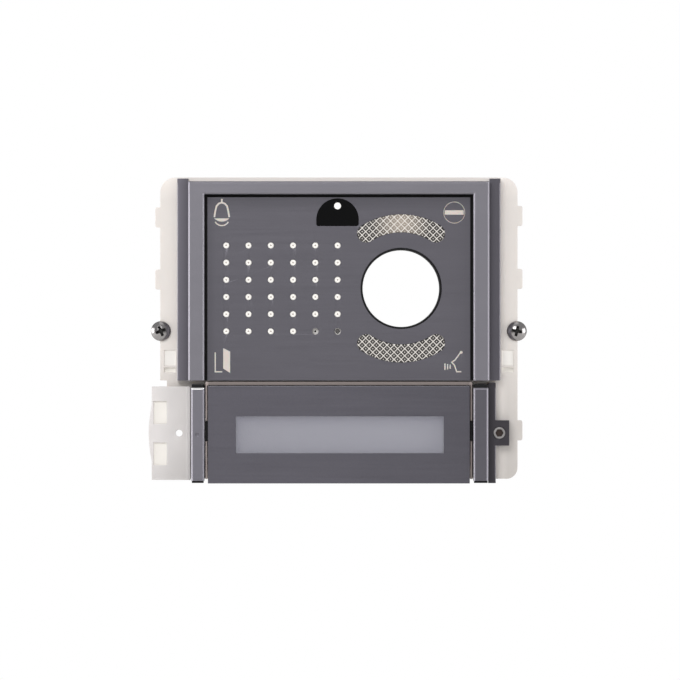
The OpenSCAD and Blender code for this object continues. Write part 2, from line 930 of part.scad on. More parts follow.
// A hollow rail without a flange
module rail_shape(out_x) {
    polygon([
        [rail_in, chassis_y],
        [rail_in, frame_y + rail_chamfer],
        [rail_in + rail_chamfer, frame_y],
        [out_x - rail_chamfer, frame_y],
        [out_x, frame_y + rail_chamfer],
        [out_x, chassis_y],
        [out_x - frame_wall, chassis_y],
        [out_x - frame_wall, frame_y + frame_wall],
        [rail_in + frame_wall, frame_y + frame_wall],
        [rail_in + frame_wall, chassis_y]
    ]);
}

module frame_side() {
    translate([0, 0, frame_bottom])
        linear_extrude(frame_h - rail_chamfer)
            flanged_rail_shape(rail_out, frame_x);
    block(rail_out, frame_x, flange_y, chassis_y, frame_top - rail_chamfer, frame_top + flange_rise);
    block(ledge_x, rail_in + frame_wall / 2, ledge_y, ledge_y + ledge_t, frame_bottom, bar_bottom);
}

// Frame: the top bar, seen along its length
module top_bar() {
    translate([-rail_out, 0, 0])
        rotate([90, 0, 90])
            linear_extrude(2 * rail_out)
                polygon([
                    [chassis_y, frame_top],
                    [frame_y + rail_chamfer, frame_top],
                    [frame_y, frame_top - rail_chamfer],
                    [frame_y, bar_bottom + rail_chamfer],
                    [frame_y + rail_chamfer, bar_bottom],
                    [chassis_y, bar_bottom],
                    [chassis_y, bar_bottom + frame_wall],
                    [frame_y + frame_wall, bar_bottom + frame_wall],
                    [frame_y + frame_wall, frame_top - frame_wall],
                    [chassis_y, frame_top - frame_wall]
                ]);
}

module upper_frame() {
    color([0.47, 0.47, 0.5])
        difference() {
            union() {
                frame_side();
                mirror([1, 0, 0])
                    frame_side();
                top_bar();
                block(-rail_in, rail_in, ledge_y, ledge_y + ledge_t, ledge_z, bar_bottom + frame_wall / 2);
                for (p = frame_screw_places) {
                    bar(p[0], p[1], frame_screw_boss_r, frame_y + frame_wall / 2, chassis_y);
                }
            }
            for (p = frame_screw_places) {
                bar(p[0], p[1], small_pilot_r, chassis_y - small_screw_bite - over, chassis_y + over);
            }
        }
}

// Front plate with every opening
module front_plate_shape() {
    difference() {
        translate([-plate_x, frame_bottom])
            square([2 * plate_x, plate_top - frame_bottom]);
        polygon(lens_points(lens_near_r - fixed_gap, lens_far_r + fixed_gap, 90));
        polygon(lens_points(lens_near_r - fixed_gap, lens_far_r + fixed_gap, 270));
        sensor_shape(hair_gap);
        bell_shape(hair_gap);
        busy_bar(hair_gap);
        door_shape(hair_gap);
        talk_shape(hair_gap);
    }
}

module front_plate() {
    color([0.4, 0.39, 0.43])
        difference() {
            slab(plate_y, plate_back)
                front_plate_shape();
            bar(camera_x, camera_z, camera_hole_r, plate_y - over, plate_back + over);
            at_speaker_holes(0)
                bar(0, 0, speaker_hole_d / 2, plate_y - over, plate_back + over);
            ring(busy_x, busy_z, busy_r, busy_r - busy_groove_w, plate_y - over, plate_y + busy_groove_t);
        }
}

// Seal between the plate and the ledge, seen as the black line round the plate
module plate_seal() {
    color([0.05, 0.05, 0.05])
        difference() {
            block(-rail_in + fixed_gap, rail_in - fixed_gap, plate_back, ledge_y, frame_bottom, bar_bottom - fixed_gap);
            block(-ledge_x, ledge_x, plate_back - over, ledge_y + over, frame_bottom - over, ledge_z);
        }
}

// A block's outline behind a symbol, grown by a margin
module symbol_block(x, z, half, h, edge) {
    translate([x - half - edge, z - edge])
        square([2 * (half + edge), h + 2 * edge]);
}

module bell_block(edge, top) {
    intersection() {
        symbol_block(bell_x, bell_bottom, bell_half, bell_h, block_margin + edge);
        translate([-carrier_x, 0])
            square([2 * carrier_x, top]);
    }
}

module busy_block(edge) {
    symbol_block(busy_x, busy_z - busy_bar_h / 2, busy_bar_x, busy_bar_h, block_margin + edge);
}

module door_block(edge) {
    symbol_block(door_x, door_bottom, door_leaf_share[1][0] * door_h, door_h, block_margin + edge);
}

module talk_block(edge) {
    symbol_block(
        talk_x,
        talk_bottom - symbol_line / 2,
        dot_r - talk_dash_share[0][0] * talk_h,
        talk_h + dot_r,
        block_margin + edge
    );
}

module plate_carrier() {
    color([0.89, 0.86, 0.83])
        difference() {
            union() {
                block(-carrier_x, carrier_x, plate_back, carrier_back, frame_bottom, carrier_top);
                at_speaker_holes(open_holes)
                    bar(0, 0, speaker_hole_d / 2 - fixed_gap, plate_y + pip_sink, plate_back + carrier_t / 2);
                turned(speaker_x, speaker_z)
                    polygon([
                        [speaker_ring_in, carrier_back - carrier_t / 2],
                        [speaker_ring_out, carrier_back - carrier_t / 2],
                        [speaker_ring_out, basket_back + fixed_gap + speaker_lip_t],
                        [speaker_ring_in - speaker_lip_w, basket_back + fixed_gap + speaker_lip_t],
                        [speaker_ring_in - speaker_lip_w, basket_back + fixed_gap],
                        [speaker_ring_in, basket_back + fixed_gap]
                    ]);
                for (p = post_places) {
                    bar(p[0], p[1], post_r, carrier_back - carrier_t / 2, board_y);
                }
            }
            slab(plate_back - over, carrier_back + over) {
                polygon(lens_points(lens_near_r - lens_lip - fixed_gap, lens_far_r + lens_lip + fixed_gap, 90));
                polygon(lens_points(lens_near_r - lens_lip - fixed_gap, lens_far_r + lens_lip + fixed_gap, 270));
            }
            slab(plate_back - over, carrier_back + over) {
                sensor_lip_shape(fixed_gap, carrier_top + over);
                bell_block(fixed_gap, carrier_top + over);
                busy_block(fixed_gap);
                door_block(fixed_gap);
                talk_block(fixed_gap);
            }
            bar(camera_x, camera_z, collar_r + fixed_gap, plate_back - over, carrier_back + over);
            at_speaker_holes(0)
                bar(0, 0, sound_hole_d / 2, plate_y - over, carrier_back + over);
            bar(mic_x, mic_z, mic_hole_d / 2, plate_back - over, carrier_back + over);
            for (p = post_places) {
                bar(p[0], p[1], small_pilot_r, board_y - small_screw_bite + board_t, board_y + over);
            }
        }
}

// Black ring round the open camera bay, with its flange clamped behind the carrier
module camera_collar() {
    color([0.07, 0.07, 0.08])
        turned(camera_x, camera_z)
            polygon([
                [camera_r, plate_y + collar_sink],
                [collar_front_r, plate_y + collar_sink],
                [collar_front_r, plate_back],
                [collar_r, plate_back],
                [collar_r, carrier_back],
                [collar_r + collar_flange_w, carrier_back],
                [collar_r + collar_flange_w, board_y],
                [collar_r, board_y],
                [collar_r, housing_d],
                [camera_r, housing_d]
            ]);
}

module sensor_window() {
    color([0.06, 0.06, 0.07])
        difference() {
            union() {
                slab(plate_y, plate_back)
                    sensor_shape(0);
                slab(plate_back, lens_back)
                    sensor_lip_shape(0, carrier_top - fixed_gap);
            }
            bar(sensor_x, sensor_pipe_z, sensor_pipe_r + hair_gap, plate_y - over, plate_back + carrier_t);
        }
}

module sensor_light_pipe() {
    color([0.93, 0.92, 0.9])
        bar(sensor_x, sensor_pipe_z, sensor_pipe_r, plate_y, guide_back);
}

// Illuminator lens, with a lip behind the plate
module illuminator(middle) {
    slab(plate_y + lens_sink, plate_back)
        polygon(lens_points(lens_near_r, lens_far_r, middle));
    slab(plate_back, lens_back)
        polygon(lens_points(lens_near_r - lens_lip, lens_far_r + lens_lip, middle));
}

module upper_illuminator() {
    color([0.5, 0.49, 0.48])
        illuminator(90);
}

module lower_illuminator() {
    color([0.5, 0.49, 0.48])
        illuminator(270);
}

module bell_light_guide() {
    color([0.9, 0.88, 0.85]) {
        slab(plate_y, plate_back)
            bell_shape(0);
        slab(plate_back, guide_back)
            bell_block(0, carrier_top - fixed_gap);
    }
}

module busy_light_guide() {
    color([0.83, 0.8, 0.8]) {
        slab(plate_y, plate_back)
            busy_bar(0);
        slab(plate_back, guide_back)
            busy_block(0);
    }
}

module door_light_guide() {
    color([0.9, 0.88, 0.85]) {
        slab(plate_y, plate_back)
            door_shape(0);
        slab(plate_back, guide_back)
            door_block(0);
    }
}

module talk_light_guide() {
    color([0.9, 0.88, 0.85]) {
        slab(plate_y, plate_back)
            talk_shape(0);
        slab(plate_back, guide_back)
            talk_block(0);
    }
}

// Loudspeaker, held by the lip of the carrier's ring
module speaker_basket() {
    color([0.3, 0.3, 0.31])
        turned(speaker_x, speaker_z)
            polygon([
                [speaker_r - basket_rim_w, basket_y],
                [speaker_r, basket_y],
                [speaker_r, basket_back],
                [speaker_r - basket_rim_w + basket_wall, basket_back],
                [magnet_r + basket_wall, magnet_y],
                [coil_r + basket_wall, magnet_y],
                [coil_r + basket_wall, magnet_y - basket_wall],
                [magnet_r, magnet_y - basket_wall],
                [speaker_r - basket_rim_w, basket_back]
            ]);
}

function cone_path(y) = concat(
    [
        [speaker_r - basket_rim_w, y],
        [speaker_r - 2 * basket_rim_w, y],
        [coil_r, y + cone_depth]
    ],
    dome_points(coil_r, y + cone_depth, cap_rise)
);

module speaker_cone() {
    front = cone_path(basket_y + cone_gap / 2);
    back = cone_path(basket_y + cone_gap / 2 + cone_t);
    color([0.12, 0.12, 0.12])
        turned(speaker_x, speaker_z)
            polygon(concat(front, reversed(back)));
}

module speaker_magnet() {
    color([0.35, 0.35, 0.37])
        turned(speaker_x, speaker_z)
            polygon([
                [0, magnet_y + magnet_plate_t],
                [coil_r + basket_wall, magnet_y + magnet_plate_t],
                [coil_r + basket_wall, magnet_y],
                [magnet_r, magnet_y],
                [magnet_r, magnet_y + magnet_t],
                [magnet_r - magnet_plate_t, magnet_y + magnet_t + magnet_plate_t],
                [0, magnet_y + magnet_t + magnet_plate_t]
            ]);
}

module speaker_foam_ring() {
    color([0.15, 0.15, 0.15])
        ring(speaker_x, speaker_z, speaker_r, speaker_r - foam_w, carrier_back, basket_y);
}

module microphone() {
    color([0.75, 0.75, 0.76])
        bar(mic_x, mic_z, mic_r, carrier_back + mic_boot_front, board_y);
}

module microphone_boot() {
    color([0.1, 0.1, 0.1])
        difference() {
            bar(mic_x, mic_z, mic_r + mic_boot_wall, carrier_back, board_y);
            bar(mic_x, mic_z, mic_r, carrier_back + mic_boot_front, board_y + over);
            bar(mic_x, mic_z, mic_hole_d / 2, carrier_back - over, board_y);
        }
}

module light_board() {
    color([0.05, 0.3, 0.2])
        difference() {
            block(-light_board_x, light_board_x, board_y, chassis_y, light_board_bottom, light_board_top);
            bar(speaker_x, speaker_z, speaker_ring_out + board_hole_gap, board_y - over, chassis_y + over);
            bar(camera_x, camera_z, collar_r + fixed_gap, board_y - over, chassis_y + over);
            for (p = post_places) {
                bar(p[0], p[1], small_pass_r, board_y - over, chassis_y + over);
            }
        }
}

// Lamps behind the illuminators, the symbols and the light pipe
module light_board_leds() {
    color([0.95, 0.93, 0.8])
        for (p = led_places) {
            block(p[0] - led_w / 2, p[0] + led_w / 2, led_y, board_y, p[1] - led_w / 2, p[1] + led_w / 2);
        }
}

// Lower rails
module lower_rail_left() {
    color([0.46, 0.46, 0.49])
        difference() {
            union() {
                translate([0, 0, lower_rail_bottom])
                    linear_extrude(lower_rail_top - lower_rail_bottom)
                        mirror([1, 0])
                            rail_shape(rail_in + left_rail_w);
                for (p = left_screw_places) {
                    bar(p[0], p[1], frame_screw_boss_r, frame_y + frame_wall / 2, chassis_y);
                }
            }
            for (p = left_screw_places) {
                bar(p[0], p[1], small_pilot_r, chassis_y - small_screw_bite - over, chassis_y + over);
            }
            block(
                -(rail_in + left_rail_w + over),
                -(rail_in - over),
                tongue_y - slot_clear,
                tray_back + slot_clear,
                channel_bottom,
                channel_top
            );
            bar(-(rail_in + dimple_side), button_z, dimple_r, frame_y - over, frame_y + dimple_t);
            rail_end_cut(-(rail_in + left_rail_w + over), -(rail_in - over));
        }
}

// End of the right rail's flange, which reaches past the rail
module flange_end(z0, z1) {
    block(rail_in + right_rail_w, lower_flange_x, flange_y, chassis_y, z0, z1);
}

module lower_rail_right() {
    color([0.36, 0.36, 0.4])
        difference() {
            union() {
                translate([0, 0, lower_rail_bottom])
                    linear_extrude(lower_rail_top - lower_rail_bottom)
                        flanged_rail_shape(rail_in + right_rail_w, lower_flange_x);
                block(
                    rail_in + right_rail_w,
                    lug_x,
                    flange_y,
                    chassis_y,
                    lock_z - lug_h / 2,
                    lock_z + lug_h / 2
                );
                flange_end(lower_rail_top, button_top + flange_head);
                flange_end(button_bottom + flange_foot, lower_rail_bottom);
                for (p = right_screw_places) {
                    bar(p[0], p[1], frame_screw_boss_r, frame_y + frame_wall / 2, chassis_y);
                }
            }
            for (p = right_screw_places) {
                bar(p[0], p[1], small_pilot_r, chassis_y - small_screw_bite - over, chassis_y + over);
            }
            bar(lock_x, lock_z, lug_hole_r, flange_y - over, chassis_y + over);
            bar(lock_x, lock_z, lug_counter_r, flange_y - over, lock_y + lock_head_t + lock_seat_gap);
            rail_end_cut(rail_in - over, rail_in + right_rail_w + over);
        }
}

// Caps that close the ends of a lower rail, with plugs inside the rail
module rail_caps(out_x) {
    block(
        rail_in + cap_inset,
        out_x - cap_inset,
        frame_y + cap_sink,
        chassis_y - fixed_gap,
        lower_rail_top,
        lower_rail_top + cap_head_t
    );
    block(
        rail_in + cap_inset,
        out_x - cap_inset,
        frame_y + cap_sink,
        chassis_y - fixed_gap,
        lower_rail_bottom - cap_foot_t,
        lower_rail_bottom
    );
    for (z = [lower_rail_bottom - cap_foot_t / 2, lower_rail_top - cap_plug_l]) {
        block(
            rail_in + frame_wall + cap_plug_gap,
            out_x - frame_wall - cap_plug_gap,
            frame_y + frame_wall + cap_plug_gap,
            chassis_y - fixed_gap,
            z,
            z + cap_plug_l + cap_foot_t / 2
        );
    }
}

module rail_end_caps() {
    color([0.07, 0.07, 0.07]) {
        mirror([1, 0, 0])
            rail_caps(rail_in + left_rail_w);
        rail_caps(rail_in + right_rail_w);
    }
}

module lock_screw() {
    color([0.6, 0.6, 0.62])
        difference() {
            union() {
                bar(lock_x, lock_z, lock_ring_r, lock_y, lock_y + lock_head_t);
                bar(lock_x, lock_z, lock_shank_r, lock_y + lock_head_t / 2, -lock_tail_gap);
            }
            translate([lock_x, lock_y + lock_socket_t, lock_z])
                rotate([90, 0, 0])
                    cylinder(r = lock_socket_r, h = lock_socket_t + over, $fn = 6);
        }
}

// Call button plate with its window opening
module call_button() {
    color([0.37, 0.37, 0.4])
        difference() {
            block(-button_x, button_x, button_y, button_back, button_bottom, button_top);
            window_block(0, button_y - over, button_back + over);
        }
}

module window_block(edge, y0, y1) {
    block_at(window_x, button_z, window_w * width_share + 2 * edge, window_h + 2 * edge, y0, y1);
}

module button_carrier() {
    color([0.1, 0.1, 0.11])
        difference() {
            union() {
                block(
                    -button_carrier_x,
                    button_carrier_x,
                    button_back,
                    button_carrier_back,
                    button_bottom + carrier_edge,
                    button_top - carrier_edge
                );
                block_at(0, lug_z, 2 * guide_lug_x, guide_lug_h, button_back, button_carrier_back);
            }
            window_block(window_lip + fixed_gap, button_back - over, button_carrier_back + over);
            for (p = concat(peg_places, [[0, switch_z]])) {
                bar(p[0], p[1], pin_shank_r + hair_gap, button_back - over, button_carrier_back + over);
            }
        }
}

// Pin pressed into the button carrier, with its shoulder on the carrier's back
module pin(x, z, r, l) {
    bar(x, z, pin_shank_r, button_back, button_carrier_back + l / 2);
    bar(x, z, r, button_carrier_back, button_carrier_back + l);
}

// Four pins that hold the springs, and the one that pushes the switch
module carrier_pins() {
    color([0.12, 0.12, 0.13]) {
        for (p = peg_places) {
            pin(p[0], p[1], peg_r, peg_l);
        }
        pin(0, switch_z, pad_r, pad_t);
    }
}

// Smoked window, with a lip behind the button plate
module button_lens() {
    color([0.6, 0.6, 0.64]) {
        window_block(-fixed_gap, button_y + window_sink, button_back);
        window_block(window_lip, button_back, button_carrier_back);
    }
}

// Taupe frame that guides the button, with the channel for the card tray
module button_guide_frame() {
    color([0.49, 0.45, 0.43])
        difference() {
            union() {
                block(-guide_out, guide_out, guide_y, chassis_y, guide_top_in, guide_top_in + guide_top_wall);
                for (side = [-1, 1]) {
                    translate([side * (guide_in + guide_out) / 2 - guide_wall / 2, guide_y, chassis_bottom])
                        cube([guide_wall, chassis_y - guide_y, guide_top_in + over - chassis_bottom]);
                }
                for (z = [channel_top, channel_bottom - rib_t]) {
                    block(-guide_out, stop_x + stop_t, tongue_y, chassis_y, z, z + rib_t);
                }
                block(stop_x, stop_x + stop_t, tongue_y, chassis_y, channel_bottom - rib_t, channel_top + rib_t);
            }
            for (side = [-1, 1]) {
                block(
                    side * (guide_in + guide_out) / 2 - guide_wall,
                    side * (guide_in + guide_out) / 2 + guide_wall,
                    guide_y - over,
                    button_carrier_back + button_travel + moving_gap,
                    lug_z - guide_lug_h / 2 - moving_gap,
                    lug_z + guide_lug_h / 2 + moving_gap
                );
            }
            block(
                -guide_out - over,
                -guide_in + over,
                tongue_y - slot_clear,
                tray_back + slot_clear,
                channel_bottom,
                channel_top
            );
            block(
                -button_board_x - rib_gap,
                button_board_x + rib_gap,
                button_board_y - rib_gap,
                chassis_y + over,
                button_bottom,
                button_top - carrier_edge + rib_gap
            );
        }
}

// Ring of points round the wire at one step along a spring
function wire_ring(x, z, i) =
    let (
        a = 360 * i / spring_steps,
        share = i / (spring_turns * spring_steps),
        y = spring_front + (spring_back - spring_front) * share,
        out = [cos(a), 0, sin(a)]
    )
    [
        for (k = [0 : spring_sides - 1])
            let (b = 360 * k / spring_sides)
            [x, y, z] + out * (spring_r + wire_r * cos(b)) + [0, wire_r * sin(b), 0]
    ];

module spring(x, z) {
    rings = spring_turns * spring_steps;
    points = [for (i = [0 : rings], p = wire_ring(x, z, i)) p];
    sides = [
        for (i = [0 : rings - 1], k = [0 : spring_sides - 1])
            let (a = i * spring_sides, n = (k + 1) % spring_sides)
            [a + k, a + spring_sides + k, a + spring_sides + n, a + n]
    ];
    first = [for (k = [0 : spring_sides - 1]) k];
    last = [for (k = [spring_sides - 1 : -1 : 0]) rings * spring_sides + k];
    polyhedron(points, concat(sides, [first, last]));
}

module button_springs() {
    color([0.7, 0.7, 0.72])
        for (p = peg_places) {
            spring(p[0], p[1]);
        }
}

// Call switch and its plunger
module switch_body() {
    color([0.12, 0.12, 0.13])
        difference() {
            block_at(0, switch_z, switch_w, switch_w, switch_y, button_board_y);
            bar(0, switch_z, plunger_r + plunger_clear, switch_y - over, plunger_tail + button_travel + plunger_clear);
        }
}

module switch_plunger() {
    color([0.8, 0.8, 0.8])
        bar(0, switch_z, plunger_r, plunger_tip, plunger_tail);
}

module button_board() {
    color([0.05, 0.3, 0.2])
        difference() {
            block(
                -button_board_x,
                button_board_x,
                button_board_y,
                chassis_y,
                button_board_bottom,
                button_board_top
            );
            for (p = board_screw_places) {
                bar(p[0], p[1], small_pass_r, button_board_y - over, chassis_y + over);
            }
        }
}

module backlight_leds() {
    color([0.95, 0.93, 0.8])
        for (i = [0 : backlight_cols - 1]) {
            for (side = [-1, 1]) {
                translate([
                    backlight_pitch * width_share * (i - (backlight_cols - 1) / 2) - backlight_w / 2,
                    backlight_y,
                    button_z + side * backlight_apart / 2 - backlight_w / 2
                ])
                    cube([backlight_w, backlight_h, backlight_w]);
            }
        }
}

// Outline of the tray's grip, with its bowed outer edge
module grip_shape() {
    bow_half = grip_h * bow_span_share / 2;
    polygon(concat(
        [[grip_right, grip_bottom], [grip_right, grip_top], [grip_left, grip_top]],
        [for (p = hanging_points(0, 0, bow_half, grip_bow)) [grip_left + p[1], grip_z - p[0]]],
        [[grip_left, grip_bottom]]
    ));
}

module card_tray() {
    color([0.82, 0.81, 0.81])
        difference() {
            union() {
                slab(grip_y, tray_back)
                    grip_shape();
                block(grip_right - grip_lip_w, grip_right, grip_y - grip_lip_h, tray_back, grip_bottom, grip_top);
                block(
                    grip_right - grip_lip_w / 2,
                    tongue_end,
                    tongue_y,
                    tray_back,
                    button_z - tongue_h / 2,
                    button_z + tongue_h / 2
                );
            }
            block(
                card_start - card_gap,
                tongue_end - tongue_ledge_w,
                tongue_y - over,
                tongue_base_y,
                button_z - tongue_h / 2 + tongue_ledge_w,
                button_z + tongue_h / 2 - tongue_ledge_w
            );
            for (side = [-1, 1]) {
                translate([
                    grip_left + grip_pane_side,
                    grip_y - over,
                    grip_z + side * grip_pane_up - grip_pane_h / 2
                ])
                    cube([grip_pane_w, grip_pane_t + over, grip_pane_h]);
            }
            bar(grip_right - grip_hole_in, grip_z, grip_hole_r, grip_y - over, tray_back + over);
        }
}

module name_card() {
    color([0.97, 0.97, 0.96])
        block(
            card_start,
            tongue_end - tongue_ledge_w - card_gap,
            tongue_base_y - card_t,
            tongue_base_y,
            button_z - tongue_h / 2 + tongue_ledge_w + card_gap,
            button_z + tongue_h / 2 - tongue_ledge_w - card_gap
        );
}

// Outline of the chassis with its clip tabs and screw ears
module chassis_shape() {
    polygon(concat(
        arc_points(chassis_x - chassis_top_r, chassis_top - chassis_top_r, chassis_top_r, 0, 90, corner_steps),
        arc_points(-chassis_x + chassis_top_r, chassis_top - chassis_top_r, chassis_top_r, 90, 180, corner_steps),
        [[-chassis_x, wing_step_z], [-chassis_x + wing_step, wing_step_z]],
        arc_points(
            -chassis_x + wing_step + chassis_bottom_r,
            chassis_bottom + chassis_bottom_r,
            chassis_bottom_r,
            180,
            270,
            corner_steps
        ),
        arc_points(
            chassis_x - chassis_bottom_r,
            chassis_bottom + chassis_bottom_r,
            chassis_bottom_r,
            270,
            360,
            corner_steps
        )
    ));
    for (z = tab_left_z) {
        polygon(rounded_points(-chassis_x - tab_out, -chassis_x + tab_out, z - tab_h / 2, z + tab_h / 2, tab_corner));
    }
    for (z = tab_right_z) {
        polygon(rounded_points(chassis_x - tab_out, chassis_x + tab_out, z - tab_h / 2, z + tab_h / 2, tab_corner));
    }
    for (side = [-1, 1]) {
        translate([side * screw_x, 0])
            circle(r = ear_r);
    }
}

// Outline of the rear housing's wall, grown by a gap on both sides
module housing_wall_shape(gap) {
    difference() {
        polygon(rounded_points(
            -housing_x - gap,
            housing_x + gap,
            housing_bottom - gap,
            housing_top + gap,
            housing_corner_r + gap
        ));
        polygon(rounded_points(
            -housing_in_x + gap,
            housing_in_x - gap,
            housing_bottom + housing_wall + gap,
            housing_top - housing_wall - gap,
            housing_corner_r - housing_wall - gap
        ));
    }
}

// Hole for a small screw whose head is sunk in the chassis's rear face
module chassis_screw_hole(p) {
    bar(p[0], p[1], small_pass_r, chassis_y - over, over);
    bar(p[0], p[1], small_counter_r, -small_head_sink - small_head_t, over);
}

module chassis() {
    color([0.87, 0.84, 0.82])
        difference() {
            union() {
                slab(chassis_y, 0)
                    chassis_shape();
                for (p = peg_places) {
                    ring(
                        p[0],
                        p[1],
                        spring_cup_in_r + spring_cup_wall,
                        spring_cup_in_r,
                        chassis_y - spring_cup_h,
                        chassis_y
                    );
                }
                for (p = boss_places) {
                    bar(p[0], p[1], boss_r, chassis_y / 2, boss_split_y - fixed_gap);
                }
            }
            block(-aperture_x, aperture_x, chassis_y - over, over, aperture_bottom, aperture_top);
            block_at(0, button_z, wire_hole_w, wire_hole_h, chassis_y - over, over);
            for (side = [-1, 1]) {
                bar(side * screw_x, 0, ear_hole_r, chassis_y - over, over);
                bar(side * screw_x, 0, ear_counter_r, -ear_counter_t, over);
                translate([side * pocket_x - pocket_w / 2, chassis_y - over, pocket_z - pocket_h / 2])
                    cube([pocket_w, pocket_t + over, pocket_h]);
                translate([side * pocket_x - pocket_w / 2, chassis_y - over, pocket_z - slot_drop - slot_h / 2])
                    cube([pocket_w, chassis_t - slot_floor + over, slot_h]);
            }
            for (p = concat(frame_screw_places, left_screw_places, right_screw_places, post_places)) {
                chassis_screw_hole(p);
            }
            for (p = board_screw_places) {
                bar(p[0], p[1], small_pilot_r, chassis_y - over, over);
            }
            for (p = boss_places) {
                bar(p[0], p[1], small_pilot_r, boss_split_y - small_screw_bite - over, boss_split_y);
            }
            bar(lock_x, lock_z, lug_hole_r, chassis_y - over, -lock_floor);
            bar(grip_right - grip_hole_in, grip_z, grip_hole_r + moving_gap, chassis_y - over, over);
            slab(-seat_groove_t, over)
                housing_wall_shape(fixed_gap);
        }
}

// Rear housing with its bosses, standoffs and openings
module rear_housing() {
    color([0.82, 0.8, 0.78])
        difference() {
            union() {
                slab(-seat_groove_t, housing_d - housing_wall / 2)
                    housing_wall_shape(0);
                slab(housing_d - housing_wall, housing_d)
                    polygon(rounded_points(-housing_x, housing_x, housing_bottom, housing_top, housing_corner_r));
                for (p = boss_places) {
                    bar(p[0], p[1], boss_r, boss_split_y, housing_d - housing_wall / 2);
                }
                for (p = standoff_places) {
                    bar(p[0], p[1], standoff_r, main_board_back, housing_d - housing_wall / 2);
                }
            }
            for (p = boss_places) {
                bar(p[0], p[1], small_pass_r, boss_split_y - over, housing_d + over);
                bar(p[0], p[1], small_counter_r, housing_d - small_head_sink - small_head_t, housing_d + over);
            }
            for (p = standoff_places) {
                bar(p[0], p[1], small_pilot_r, main_board_back - over, main_board_back + small_screw_bite - housing_wall / 2);
            }
            bar(camera_x, camera_z, collar_r + fixed_gap, housing_d - housing_wall - over, housing_d + over);
            rear_opening(plug_x, plug_z, plug_w, plug_h);
            rear_opening(socket_x, plug_z, socket_w, socket_h);
            for (side = [-1, 1]) {
                bar(
                    speaker_x + side * trimmer_apart / 2,
                    trimmer_z,
                    trimmer_access_r,
                    housing_d - housing_wall - over,
                    housing_d + over
                );
            }
        }
}

// Opening in the housing's back wall round a connector
module rear_opening(x, z, w, h) {
    block_at(x, z, w + 2 * plug_gap, h + 2 * plug_gap, housing_d - housing_wall - over, housing_d + over);
}

module main_board() {
    color([0.05, 0.3, 0.2])
        difference() {
            block(-main_board_x, main_board_x, main_board_y, main_board_back, main_board_bottom, main_board_top);
            bar(camera_x, camera_z, collar_r + board_hole_gap, main_board_y - over, main_board_back + over);
            for (p = standoff_places) {
                bar(p[0], p[1], small_pass_r, main_board_y - over, main_board_back + over);
            }
        }
}

module main_board_parts() {
    color([0.15, 0.15, 0.16]) {
        for (side = [-1, 1]) {
            bar(
                plug_x + side * can_apart,
                plug_z + chip_drop,
                can_r,
                main_board_y - can_l,
                main_board_y
            );
            block_at(socket_x + side * chip_w, plug_z, chip_w, chip_w, main_board_y - chip_t, main_board_y);
        }
    }
}

// Places of the four terminals, from the plug's middle
module at_terminals() {
    for (i = [0 : pin_count - 1]) {
        translate([plug_x + pin_pitch * (i - (pin_count - 1) / 2), 0, plug_z])
            children();
    }
}

module terminal_header() {
    color([0.1, 0.35, 0.2]) {
        block_at(plug_x, plug_z, plug_w, plug_h, main_board_back, main_board_back + header_t);
        at_terminals()
            bar(0, pin_up, pin_r, main_board_back + header_t / 2, main_board_back + header_t + pin_l);
    }
}

module terminal_plug() {
    color([0.12, 0.42, 0.25])
        difference() {
            block_at(plug_x, plug_z, plug_w, plug_h, plug_y, plug_y + plug_l);
            at_terminals() {
                bar(0, pin_up, pin_hole_r, plug_y - over, main_board_back + header_t + pin_l + pin_end_gap);
                bar(0, pin_up, wire_entry_r, plug_y + plug_l - wire_entry_t, plug_y + plug_l + over);
                bar(0, -plug_screw_drop, plug_screw_well_r, plug_y + plug_l - plug_screw_well_t, plug_y + plug_l + over);
            }
        }
}

module terminal_screws() {
    color([0.72, 0.72, 0.74])
        at_terminals()
            difference() {
                bar(
                    0,
                    -plug_screw_drop,
                    plug_screw_r,
                    plug_y + plug_l - plug_screw_well_t,
                    plug_y + plug_l - plug_screw_well_t + plug_screw_t
                );
                block(
                    -plug_screw_well_r,
                    plug_screw_well_r,
                    plug_y + plug_l - plug_screw_well_t + plug_screw_t - drive_slot_t,
                    plug_y + plug_l,
                    -plug_screw_drop - drive_slot_w / 2,
                    -plug_screw_drop + drive_slot_w / 2
                );
            }
}

module bus_socket() {
    color([0.88, 0.87, 0.83])
        difference() {
            block_at(socket_x, plug_z, socket_w, socket_h, main_board_back, main_board_back + socket_l);
            block(
                socket_x - socket_w / 2 + socket_wall,
                socket_x + socket_w / 2 - socket_wall,
                main_board_back + socket_floor,
                main_board_back + socket_l + over,
                plug_z - socket_h / 2 + socket_wall,
                plug_z + socket_h / 2 - socket_wall
            );
        }
}

// Trimmers on the main board, reached through the housing's back wall
module trimmer_bases() {
    color([0.2, 0.3, 0.6])
        for (side = [-1, 1]) {
            translate([speaker_x + side * trimmer_apart / 2, 0, trimmer_z])
                difference() {
                    block_at(0, 0, trimmer_w, trimmer_w, main_board_back, main_board_back + trimmer_t);
                    bar(0, 0, trimmer_r + trimmer_clear, trimmer_y - trimmer_clear, main_board_back + trimmer_t + over);
                }
        }
}

module trimmer_rotor(x) {
    difference() {
        bar(x, trimmer_z, trimmer_r, trimmer_y, trimmer_y + trimmer_l);
        block(
            x - trimmer_r - over,
            x + trimmer_r + over,
            trimmer_y + trimmer_l - trimmer_slot_t,
            trimmer_y + trimmer_l + over,
            trimmer_z - trimmer_slot_w / 2,
            trimmer_z + trimmer_slot_w / 2
        );
    }
}

module speaker_trimmer() {
    color([0.9, 0.9, 0.88])
        trimmer_rotor(speaker_x - trimmer_apart / 2);
}

module microphone_trimmer() {
    color([0.9, 0.9, 0.88])
        trimmer_rotor(speaker_x + trimmer_apart / 2);
}

